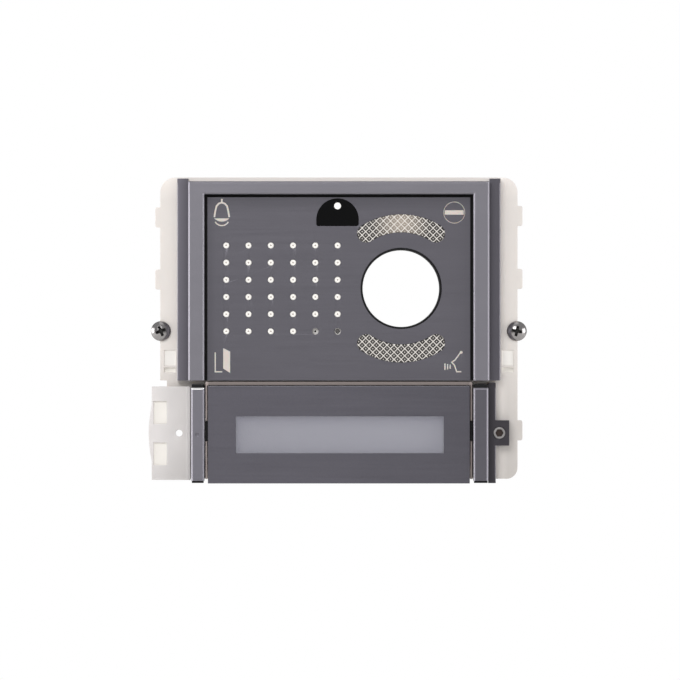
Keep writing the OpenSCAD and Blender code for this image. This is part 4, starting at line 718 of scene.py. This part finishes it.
def carved(mesh, cutter_mesh):
    """The mesh less the cutter."""
    body = linked("carved_body", mesh)
    cutter = linked("carving_tool", cutter_mesh)
    cut = body.modifiers.new("cut", "BOOLEAN")
    cut.operation = "DIFFERENCE"
    cut.solver = "EXACT"
    cut.material_mode = "TRANSFER"
    cut.object = cutter
    bpy.context.view_layer.update()
    result = bpy.data.meshes.new_from_object(body.evaluated_get(bpy.context.evaluated_depsgraph_get()))
    bpy.data.objects.remove(body)
    bpy.data.objects.remove(cutter)
    return result


class DOORPANEL_OT_shell(bpy.types.Operator):
    """Chassis, rear housing, plate carrier and guide frame in moulded plastic"""

    bl_idname = "doorpanel.shell"
    bl_label = "Shell"

    def execute(self, context):
        edge = sizes().edge_round
        dressed("chassis_moulding", "chassis", shell_plastic(), edge, self.pockets())
        dressed("rear_housing_moulding", "rear_housing", shell_plastic(), edge)
        dressed("guide_frame_moulding", "button_guide_frame", guide_painted_shade_and_light(), rounding=0.1 * MM)
        self.carrier()
        return {"FINISHED"}

    def pockets(self):
        """Patches of painted light for the wings' pockets: their thin floors, and the slots below them on
        all sides.
        """
        inner, outer = 63.0 * MM, 67.8 * MM
        depth = (-1.9 * MM, -0.1 * MM)  # behind the wings' front faces
        floor = (-13.6 * MM, -7.2 * MM)
        slot = (-16.1 * MM, -13.9 * MM)
        # paler finish: painted light on the thin floors and in the shaded slots
        thin = painted_light_shell_plastic()
        patches = []
        for wing in ((-outer, -inner), (inner, outer)):
            patches.append(patch(wing, depth, floor, thin, TO_FRONT))
            patches.append(patch(wing, depth, slot, thin, ALL_ROUND))
        return patches

    def carrier(self):
        """Plate carrier, with acoustic gauze in the sound holes of its pips."""
        size = sizes()
        # paler finish: painted light on the carrier's shaded pips
        piece = dressed("plate_carrier_moulding", "plate_carrier", painted_light_shell_plastic(), rounding=0.05 * MM)
        cone_low, cone_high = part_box("speaker_cone")
        middle = (cone_low + cone_high) / 2
        shape = bmesh.new()
        shape.from_mesh(piece.data)
        known = len(shape.faces)
        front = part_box("plate_carrier")[0].y + size.gauze_sink
        back = front + 0.2 * MM
        profile = [(0, front), (size.gauze_radius, front), (size.gauze_radius, back), (0, back)]
        rows = 6
        without_pips = 2  # at the end of the bottom row
        half = (rows - 1) / 2
        for row in range(rows):
            for column in range(rows - (without_pips if row == rows - 1 else 0)):
                away = Vector((size.hole_pitch_x * (column - half), 0, size.hole_pitch_z * (half - row)))
                spun(shape, profile, middle + away, segments=16)
        shape.faces.ensure_lookup_table()
        discs = shape.faces[known:]
        bmesh.ops.recalc_face_normals(shape, faces=discs)
        for face in discs:
            face.material_index = 1
        shape.to_mesh(piece.data)
        shape.free()
        piece.data.materials.append(gauze())


class DOORPANEL_OT_rails(bpy.types.Operator):
    """Upper frame and lower rails in satin paint, with their end caps"""

    bl_idname = "doorpanel.rails"
    bl_label = "Rails"

    flange_drop = 3 * MM  # from the rails' fronts to a depth behind which only the flanges face the front

    def execute(self, context):
        rounding = sizes().metal_round
        self.upper_frame(rounding)
        self.lower_rails(rounding)
        dressed("rail_caps_moulding", "rail_end_caps", black_plastic(), rounding)
        return {"FINISHED"}

    def upper_frame(self, rounding):
        """The rails' edges in painted highlight, the low flanges in painted shade, and chamfers across the
        ends of the top bar.
        """
        flange_width = 4.2 * MM
        outer_edge_in = 4.3 * MM  # from the frame's side to the rail's outer edge
        inner_edge_in = 10.5 * MM  # and to the right rail's inner edge
        top_bar = 5 * MM
        corner_length = 6 * MM
        chamfer = 0.55 * MM
        reach = 0.1 * MM
        low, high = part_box("upper_frame")
        outer_edges = (low.x + outer_edge_in, high.x - outer_edge_in)
        patches = [self.edge(x, low.z, high.z) for x in outer_edges]
        patches.append(self.edge(high.x - inner_edge_in, low.z, high.z - top_bar))
        depth = (FRONT + self.flange_drop, high.y)
        for flange in ((low.x, low.x + flange_width), (high.x - flange_width, high.x)):
            patches.append(patch(flange, depth, (low.z, high.z), flange_shade_paint(), TO_FRONT))
        corners = []
        for x in outer_edges:
            start = Vector((x - reach, FRONT - reach, high.z - corner_length))
            corners.append((start, Vector((x + reach, FRONT + reach, high.z)), chamfer))
        dressed("upper_frame_casting", "upper_frame", frame_paint(), rounding, patches, corners)

    def lower_rails(self, rounding):
        """Two lower rails, with painted highlights; the right one, in painted shade, carries the low flange
        and the lug.
        """
        rail_width = 5.8 * MM
        low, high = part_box("lower_rail_left")
        patches = [self.edge(low.x, low.z, high.z), self.cut_end(low.x, high.x, high.z, cut_end_highlight_paint())]
        dressed("lower_rail_left_casting", "lower_rail_left", left_rail_paint(), rounding, patches)
        rail_top = high.z
        low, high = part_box("lower_rail_right")
        rail_out = low.x + rail_width
        patches = [self.edge(x, low.z, rail_top) for x in (low.x, rail_out)]
        patches.append(self.cut_end(low.x, rail_out, rail_top, edge_highlight_paint()))
        depth = (FRONT + self.flange_drop, high.y)
        patches.append(patch((rail_out, high.x), depth, (low.z, high.z), lug_shade_paint(), TO_FRONT))
        dressed("lower_rail_right_casting", "lower_rail_right", lug_rail_shade_paint(), rounding, patches)

    def edge(self, x, bottom, top):
        """Patch of painted highlight for the chamfers along a rail's edge, which are turned halfway to the
        front.
        """
        reach = 0.7 * MM
        return patch(about(x, reach), about(FRONT, reach), (bottom, top), edge_highlight_paint(), HALF_TO_FRONT)

    def cut_end(self, left, right, top, finish):
        """Patch for the chamfer across a rail's top end, which takes a painted highlight."""
        reach = 0.75 * MM
        return patch((left, right), about(FRONT, reach), about(top, reach), finish, PARTLY_TO_FRONT)


class DOORPANEL_OT_plate(bpy.types.Operator):
    """Front plate with its seal, camera collar and sensor window"""

    bl_idname = "doorpanel.plate"
    bl_label = "Front plate"

    def execute(self, context):
        dressed("front_plate_pressing", "front_plate", plate_paint(), 0.05 * MM, [self.busy_groove()])
        # the black seal fills the gap beside the plate: a dark sheet standing in for the shade there
        repaint(rubber(), "plate_seal")
        dressed("camera_collar_moulding", "camera_collar", black_plastic(), rounding=0.1 * MM)
        repaint(black_gloss_plastic(), "sensor_window")
        repaint(light_pipe_plastic(), "sensor_light_pipe")
        for symbol in ("bell", "busy", "door", "talk"):
            repaint(opal_plastic(), symbol + "_light_guide")
        return {"FINISHED"}

    def busy_groove(self):
        """Patch for the bottom of the round groove in the plate about the busy bar."""
        low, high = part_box("busy_light_guide")
        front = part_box("front_plate")[0].y
        depth = (front + 0.1 * MM, front + 0.6 * MM)
        room = 5 * MM
        across, up = (low.x - room, high.x + room), (low.z - room, high.z + room)
        return patch(across, depth, up, opal_plastic(), TO_FRONT)


class DOORPANEL_OT_illuminators(bpy.types.Operator):
    """Prismatic lenses above and below the camera bay"""

    bl_idname = "doorpanel.illuminators"
    bl_label = "Illuminators"

    def execute(self, context):
        self.lens("upper_prism_lens", "upper_illuminator", math.pi / 2)
        self.lens("lower_prism_lens", "lower_illuminator", -math.pi / 2)
        return {"FINISHED"}

    def lens(self, name, node, middle):
        """A curved slab with round ends, its middle at an angle, and a fine net of prism cells in front."""
        size = sizes()
        low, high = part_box(node)
        bay_low, bay_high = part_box("camera_collar")
        bay = (bay_low + bay_high) / 2
        mid = (size.lens_inner + size.lens_outer) / 2
        end = (size.lens_outer - size.lens_inner) / 2
        straight = mid * size.lens_half_angle
        grid = 0.15 * MM
        last_column_share = 0.985  # the last column lies just short of the end, where it would be a point
        middle_below = 0.25  # up to this cell value lies a cell's middle, which has a share of the depth
        middle_share = 0.6
        columns = int(2 * (straight + end) / grid)
        rows = int(2 * end / grid)
        shape = bmesh.new()
        values = []
        front = []
        for i in range(columns + 1):
            along = (straight + last_column_share * end) * (2 * i / columns - 1)
            past = max(abs(along) - straight, 0)
            angle = middle + math.copysign(min(abs(along), straight) / mid, along)
            out, across = directions(angle)
            aside = across * math.copysign(past, along)
            width = math.sqrt(end**2 - past**2)
            line = []
            for j in range(rows + 1):
                at = Vector((bay.x, 0, bay.z)) + out * (mid + width * (2 * j / rows - 1)) + aside
                cell = self.cell(at.x - bay.x, at.z - bay.z, size.lens_pitch)
                at.y = low.y + size.lens_relief * (1 - cell) * (middle_share if cell < middle_below else 1)
                line.append(shape.verts.new(at))
                values.append(cell)
            front.append(line)
        for near, far in zip(front, front[1:]):
            for j in range(rows):
                shape.faces.new((near[j], near[j + 1], far[j + 1], far[j]))
        values.extend(self.close(shape, front, high.y))
        # the lamp's warm light shows in the upper lens; for the lower one it is far out of reach
        lamp_up = mid if middle > 0 else -400 * MM
        finish = prism_plastic(name + "_acrylic", Vector((bay.x, low.y, bay.z + lamp_up)))
        mesh = finished_mesh(name, shape, finish, smooth=False)
        cells = mesh.attributes.new("prism_cell", "FLOAT", "POINT")
        cells.data.foreach_set("value", values)
        place(name, mesh, node)

    def close(self, shape, front, depth):
        """Closes the slab with its sides and a flat back, and gives the cell values of the new points."""
        outer = [line[-1] for line in front[1:]]
        inner = [line[0] for line in front[-2:0:-1]]
        rim = front[0] + outer + front[-1][-2::-1] + inner
        back = [shape.verts.new((v.co.x, depth, v.co.z)) for v in rim]
        for i, v in enumerate(rim):
            k = (i + 1) % len(rim)
            shape.faces.new((v, rim[k], back[k], back[i]))
        shape.faces.new(back)
        return [0.5] * len(back)

    def cell(self, x, z, pitch):
        """0 in the middle of a square cell of the pattern, which lies at 45 degrees, and 1 on its ridges."""
        a = (x + z) / (math.sqrt(2) * pitch)
        b = (x - z) / (math.sqrt(2) * pitch)
        return 2 * max(abs(a - math.floor(a) - 0.5), abs(b - math.floor(b) - 0.5))


class DOORPANEL_OT_call_button(bpy.types.Operator):
    """Call button with its carrier, window, springs and switch"""

    bl_idname = "doorpanel.call_button"
    bl_label = "Call button"

    def execute(self, context):
        dressed("call_button_plate", "call_button", button_paint(), sizes().metal_round, [self.top_edge()])
        dressed("button_carrier_moulding", "button_carrier", black_plastic(), rounding=0.1 * MM)
        repaint(black_plastic(), "carrier_pins")
        repaint(smoked_plastic(), "button_lens")
        self.springs()
        repaint(component_resin(), "switch_body")
        repaint(white_plastic(), "switch_plunger")
        repaint(solder_mask(), "button_board")
        repaint(lamp_resin(), "backlight_leds")
        return {"FINISHED"}

    def top_edge(self):
        """Patch of painted highlight for the round along the button's top edge."""
        low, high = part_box("call_button")
        reach = 0.35 * MM
        depth, up = about(low.y, reach), about(high.z, reach)
        return patch((low.x, high.x), depth, up, edge_highlight_paint(), PARTLY_TO_FRONT)

    def springs(self):
        """Four coil springs."""
        size = sizes()
        low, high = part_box("button_springs")
        reach = size.spring_radius + size.spring_wire
        turns = 4.5
        steps = 26
        sides = 10
        start, stop = low.y + size.spring_wire, high.y - size.spring_wire
        shape = bmesh.new()
        count = int(turns * steps)
        for x in (low.x + reach, high.x - reach):
            for z in (low.z + reach, high.z - reach):
                rings = []
                for i in range(count + 1):
                    out = directions(2 * math.pi * i / steps)[0]
                    centre = Vector((x, start + (stop - start) * i / count, z)) + out * size.spring_radius
                    ring = []
                    for k in range(sides):
                        turn = 2 * math.pi * k / sides
                        swing = out * math.cos(turn) + Vector((0, math.sin(turn), 0))
                        ring.append(shape.verts.new(centre + swing * size.spring_wire))
                    rings.append(ring)
                join_rings(shape, rings)
                shape.faces.new(rings[0])
                shape.faces.new(rings[-1])
        mesh = finished_mesh("return_springs", shape, spring_steel())
        springs = place("return_springs", mesh, "button_springs")
        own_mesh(springs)


class DOORPANEL_OT_card_tray(bpy.types.Operator):
    """Card tray in frosted plastic, with its card"""

    bl_idname = "doorpanel.card_tray"
    bl_label = "Card tray"

    def execute(self, context):
        low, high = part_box("card_tray")
        across = (low.x, low.x + 7.5 * MM)  # the outer half of the tray's grip
        depth = (-4.9 * MM, -4.4 * MM)  # only its panes lie at this depth
        panes = patch(across, depth, (low.z, high.z), painted_light_frosted_plastic(), TO_FRONT)
        dressed("card_tray_moulding", "card_tray", frosted_plastic(), 0.15 * MM, [panes])
        repaint(plain_card(), "name_card")
        return {"FINISHED"}


class DOORPANEL_OT_fasteners(bpy.types.Operator):
    """Mounting screws with real threads, lock screw and small screws"""

    bl_idname = "doorpanel.fasteners"
    bl_label = "Fasteners"

    def execute(self, context):
        self.mounting_screw("mounting_screw_left_turning", "mounting_screw_left", math.radians(22))
        self.mounting_screw("mounting_screw_right_turning", "mounting_screw_right", math.radians(-12))
        dressed("lock_screw_turning", "lock_screw", satin_steel(), 0.2 * MM, [self.lock_socket()])
        for node in ("frame_screws", "housing_screws"):
            dressed(node + "_turning", node, zinc_steel(), rounding=0.12 * MM)
        repaint(zinc_steel(), "board_screws", "main_board_screws")
        return {"FINISHED"}

    def lock_socket(self):
        """Patch of painted shade for all faces inside the lock screw's socket."""
        low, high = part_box("lock_screw")
        middle = (low + high) / 2
        depth = (low.y + 0.25 * MM, low.y + 1.2 * MM)
        reach = 1.75 * MM
        return patch(about(middle.x, reach), depth, about(middle.z, reach), socket_shade(), ALL_ROUND)

    def mounting_screw(self, name, node, turn):
        """A pan-head screw whose cross recess lies at an angle, with a helical thread."""
        low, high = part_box(node)
        centre = (low + high) / 2
        head_radius = (high.x - low.x) / 2
        head_depth = 2.4 * MM
        head_edge = 0.5 * MM
        head_chamfer = 0.08 * MM
        neck_radius = 1.6 * MM
        crest = 2 * MM
        thread_start = 0.1 * MM
        dome_steps = 12
        shape = bmesh.new()
        dome = head_depth - head_edge
        ball = (head_radius**2 + dome**2) / (2 * dome)
        widest = math.asin(head_radius / ball)
        angles = [widest * i / dome_steps for i in range(dome_steps)]
        profile = [(ball * math.sin(angle), low.y + ball * (1 - math.cos(angle))) for angle in angles]
        profile += [(head_radius, low.y + dome), (head_radius, low.y + head_depth - head_chamfer)]
        profile += [(head_radius - head_chamfer, low.y + head_depth), (neck_radius, low.y + head_depth)]
        profile += [(neck_radius, thread_start), (0, thread_start)]
        spun(shape, profile, centre)
        head = finished_mesh(name, shape, zinc_steel())
        for swing in (turn, turn + math.pi / 2):
            head = carved(head, self.blade(centre, low.y, swing))
        shape = bmesh.new()
        shape.from_mesh(head)
        bpy.data.meshes.remove(head)
        self.thread(shape, centre, thread_start, high.y, crest)
        mesh = finished_mesh(name, shape, zinc_steel())
        mesh.materials.append(recess_shade())
        place(name, mesh, node)

    def blade(self, centre, front, swing):
        """One of the two tapered blades of a screwdriver's cross, as a tool that cuts half of the recess."""
        shape = bmesh.new()
        along, across = directions(swing)
        # depth behind the head's top, half length and half thickness
        shoulder = (-0.5 * MM, 2.9 * MM, 0.68 * MM)
        tip = (1.5 * MM, 1.1 * MM, 0.36 * MM)
        corners = ((1, 1), (-1, 1), (-1, -1), (1, -1))
        rings = []
        for depth, reach, half in (shoulder, tip):
            middle = Vector((centre.x, front + depth, centre.z))
            spots = [middle + along * reach * a + across * half * b for a, b in corners]
            rings.append([shape.verts.new(spot) for spot in spots])
        join_rings(shape, rings)
        shape.faces.new(rings[0])
        shape.faces.new(rings[-1])
        # the recess that this blade cuts takes its painted shade
        return finished_mesh("driver_blade", shape, recess_shade())

    def thread(self, shape, centre, start, stop, crest):
        """Threaded shank: its radius follows a helix, and its tip tapers."""
        size = sizes()
        around = 32
        rows_per_turn = 9
        crest_slope = 1.25  # steeper than a plain zigzag, so that the crests are flat
        tip_length = 1.2 * MM
        tip_drop = 0.9 * MM
        rows = int((stop - start) / size.thread_pitch * rows_per_turn)
        rings = [[shape.verts.new((centre.x, start, centre.z))]]
        for i in range(rows + 1):
            depth = start + (stop - start) * i / rows
            near_end = min(1, (stop - depth) / tip_length)
            ring = []
            for k in range(around):
                turn = k / around
                phase = (depth / size.thread_pitch - turn) % 1
                height = min(1, crest_slope * (1 - abs(2 * phase - 1)))
                radius = min(crest - size.thread_depth * (1 - height), crest - tip_drop * (1 - near_end))
                ring.append(shape.verts.new(on_ring(centre, radius, 2 * math.pi * turn, depth)))
            rings.append(ring)
        rings.append([shape.verts.new((centre.x, stop, centre.z))])
        join_rings(shape, rings)


class DOORPANEL_OT_loudspeaker(bpy.types.Operator):
    """Loudspeaker, microphone and the boards behind the plate"""

    bl_idname = "doorpanel.loudspeaker"
    bl_label = "Loudspeaker and boards"

    def execute(self, context):
        repaint(black_painted_steel(), "speaker_basket")
        repaint(cone_paper(), "speaker_cone")
        repaint(zinc_steel(), "speaker_magnet", "microphone")
        repaint(rubber(), "speaker_foam_ring", "microphone_boot")
        repaint(solder_mask(), "light_board", "main_board")
        repaint(lamp_resin(), "light_board_leds")
        repaint(component_resin(), "main_board_parts")
        return {"FINISHED"}


class DOORPANEL_OT_connectors(bpy.types.Operator):
    """Terminal plug, bus socket and trimmers at the back"""

    bl_idname = "doorpanel.connectors"
    bl_label = "Connectors"

    def execute(self, context):
        repaint(green_nylon(), "terminal_header")
        dressed("terminal_plug_moulding", "terminal_plug", green_nylon(), rounding=0.15 * MM)
        repaint(zinc_steel(), "terminal_screws")
        dressed("bus_socket_moulding", "bus_socket", white_plastic(), rounding=0.15 * MM)
        repaint(blue_plastic(), "trimmer_bases")
        for node in ("speaker_trimmer", "microphone_trimmer"):
            dressed(node + "_moulding", node, white_plastic(), rounding=0.12 * MM)
        return {"FINISHED"}


class DOORPANEL_OT_stage(bpy.types.Operator):
    """Pale floor, white surroundings, soft lamps and the camera"""

    bl_idname = "doorpanel.stage"
    bl_label = "Stage"

    def execute(self, context):
        stage = context.scene.door_panel_stage
        self.floor(stage)
        self.surroundings(stage)
        self.lamp("key_lamp", (-0.27, -0.89, 0.5), stage.lamp_width, stage.key)
        self.lamp("left_lamp", (-0.9, -0.12, 0.05), stage.lamp_width, stage.side)
        self.lamp("right_lamp", (0.9, -0.3, 0.05), stage.lamp_width, stage.side)
        self.lamp("top_lamp", (0.0, -0.15, 0.9), stage.lamp_width, stage.top)
        self.camera(stage)
        context.scene.view_settings.view_transform = "Standard"
        return {"FINISHED"}

    def floor(self, stage):
        shape = bmesh.new()
        bmesh.ops.create_circle(shape, cap_ends=True, segments=96, radius=stage.floor_radius)
        for v in shape.verts:
            v.co.z = -stage.floor_down
        mesh = bpy.data.meshes.new("floor")
        shape.to_mesh(mesh)
        shape.free()
        mesh.materials.append(matt_white_paint())
        linked("floor", mesh)

    def surroundings(self, stage):
        """White where the camera or clear plastic sees it, an even grey as light, and a ramp as gloss."""
        world = bpy.data.worlds.new("white_surroundings")
        bpy.context.scene.world = world
        world.use_nodes = True
        path = add(world, "ShaderNodeLightPath")
        rays = {0: path.outputs["Is Camera Ray"], 1: path.outputs["Is Transmission Ray"]}
        seen = add(world, "ShaderNodeMath", rays, operation="MAXIMUM").outputs[0]
        direction = add(world, "ShaderNodeTexCoord").outputs["Generated"]
        height = add(world, "ShaderNodeSeparateXYZ", {"Vector": direction}).outputs["Z"]
        span = {"From Min": -0.7, "From Max": 0.7, "To Min": stage.gloss_low, "To Max": stage.gloss_high}
        gloss = add(world, "ShaderNodeMapRange", {"Value": height, **span}).outputs[0]
        mixed = {"Factor": path.outputs["Is Glossy Ray"], NUMBER_A: stage.ambient, NUMBER_B: gloss}
        lit = add(world, "ShaderNodeMix", mixed).outputs[0]
        strength = add(world, "ShaderNodeMix", {"Factor": seen, NUMBER_A: lit, NUMBER_B: 1.0}).outputs[0]
        background = world.node_tree.nodes["Background"]
        feed(world, background, Color=(1, 1, 1, 1), Strength=strength)

    def lamp(self, name, at, width, power):
        """A square lamp that faces the panel's middle."""
        light = bpy.data.lights.new(name, "AREA")
        light.shape = "SQUARE"
        light.size = width
        light.energy = power
        lamp = linked(name, light)
        lamp.location = at
        lamp.rotation_euler = (-Vector(at)).to_track_quat("-Z", "Y").to_euler()

    def camera(self, stage):
        """A long lens square on to the panel's front, whose picture is as wide as the settings say."""
        data = bpy.data.cameras.new("camera")
        camera = linked("camera", data)
        camera.location = (stage.view_right, FRONT - stage.distance, -stage.view_down)
        camera.rotation_euler = (math.pi / 2, 0, 0)
        data.sensor_width = 36
        data.lens = data.sensor_width * stage.distance / stage.view_width
        data.clip_start = 0.01
        data.clip_end = 20
        bpy.context.scene.camera = camera


STEPS = (
    DOORPANEL_OT_stage,
    DOORPANEL_OT_shell,
    DOORPANEL_OT_rails,
    DOORPANEL_OT_plate,
    DOORPANEL_OT_illuminators,
    DOORPANEL_OT_call_button,
    DOORPANEL_OT_card_tray,
    DOORPANEL_OT_fasteners,
    DOORPANEL_OT_loudspeaker,
    DOORPANEL_OT_connectors,
)


class DOORPANEL_PT_steps(bpy.types.Panel):
    """Lists the steps that build the panel, and its settings"""

    bl_label = "Door Panel"
    bl_idname = "DOORPANEL_PT_steps"
    bl_space_type = "VIEW_3D"
    bl_region_type = "UI"
    bl_category = "Door Panel"

    def draw(self, context):
        for step in STEPS:
            self.layout.operator(step.bl_idname)
        for settings in ("door_panel_colours", "door_panel_sizes", "door_panel_stage"):
            group = getattr(context.scene, settings)
            for name in group.bl_rna.properties.keys():
                if name not in ("name", "rna_type"):
                    self.layout.prop(group, name)


GROUPS = {
    "door_panel_colours": DoorPanelColours,
    "door_panel_sizes": DoorPanelSizes,
    "door_panel_stage": DoorPanelStage,
}


def register():
    for group in GROUPS.values():
        bpy.utils.register_class(group)
    for name, group in GROUPS.items():
        setattr(bpy.types.Scene, name, bpy.props.PointerProperty(type=group))
    for step in STEPS:
        bpy.utils.register_class(step)
    bpy.utils.register_class(DOORPANEL_PT_steps)


def unregister():
    bpy.utils.unregister_class(DOORPANEL_PT_steps)
    for step in reversed(STEPS):
        bpy.utils.unregister_class(step)
    for name, group in GROUPS.items():
        delattr(bpy.types.Scene, name)
        bpy.utils.unregister_class(group)


def main():
    register()
    for step in STEPS:
        group, name = step.bl_idname.split(".")
        getattr(getattr(bpy.ops, group), name)()


if __name__ == "__main__":
    main()
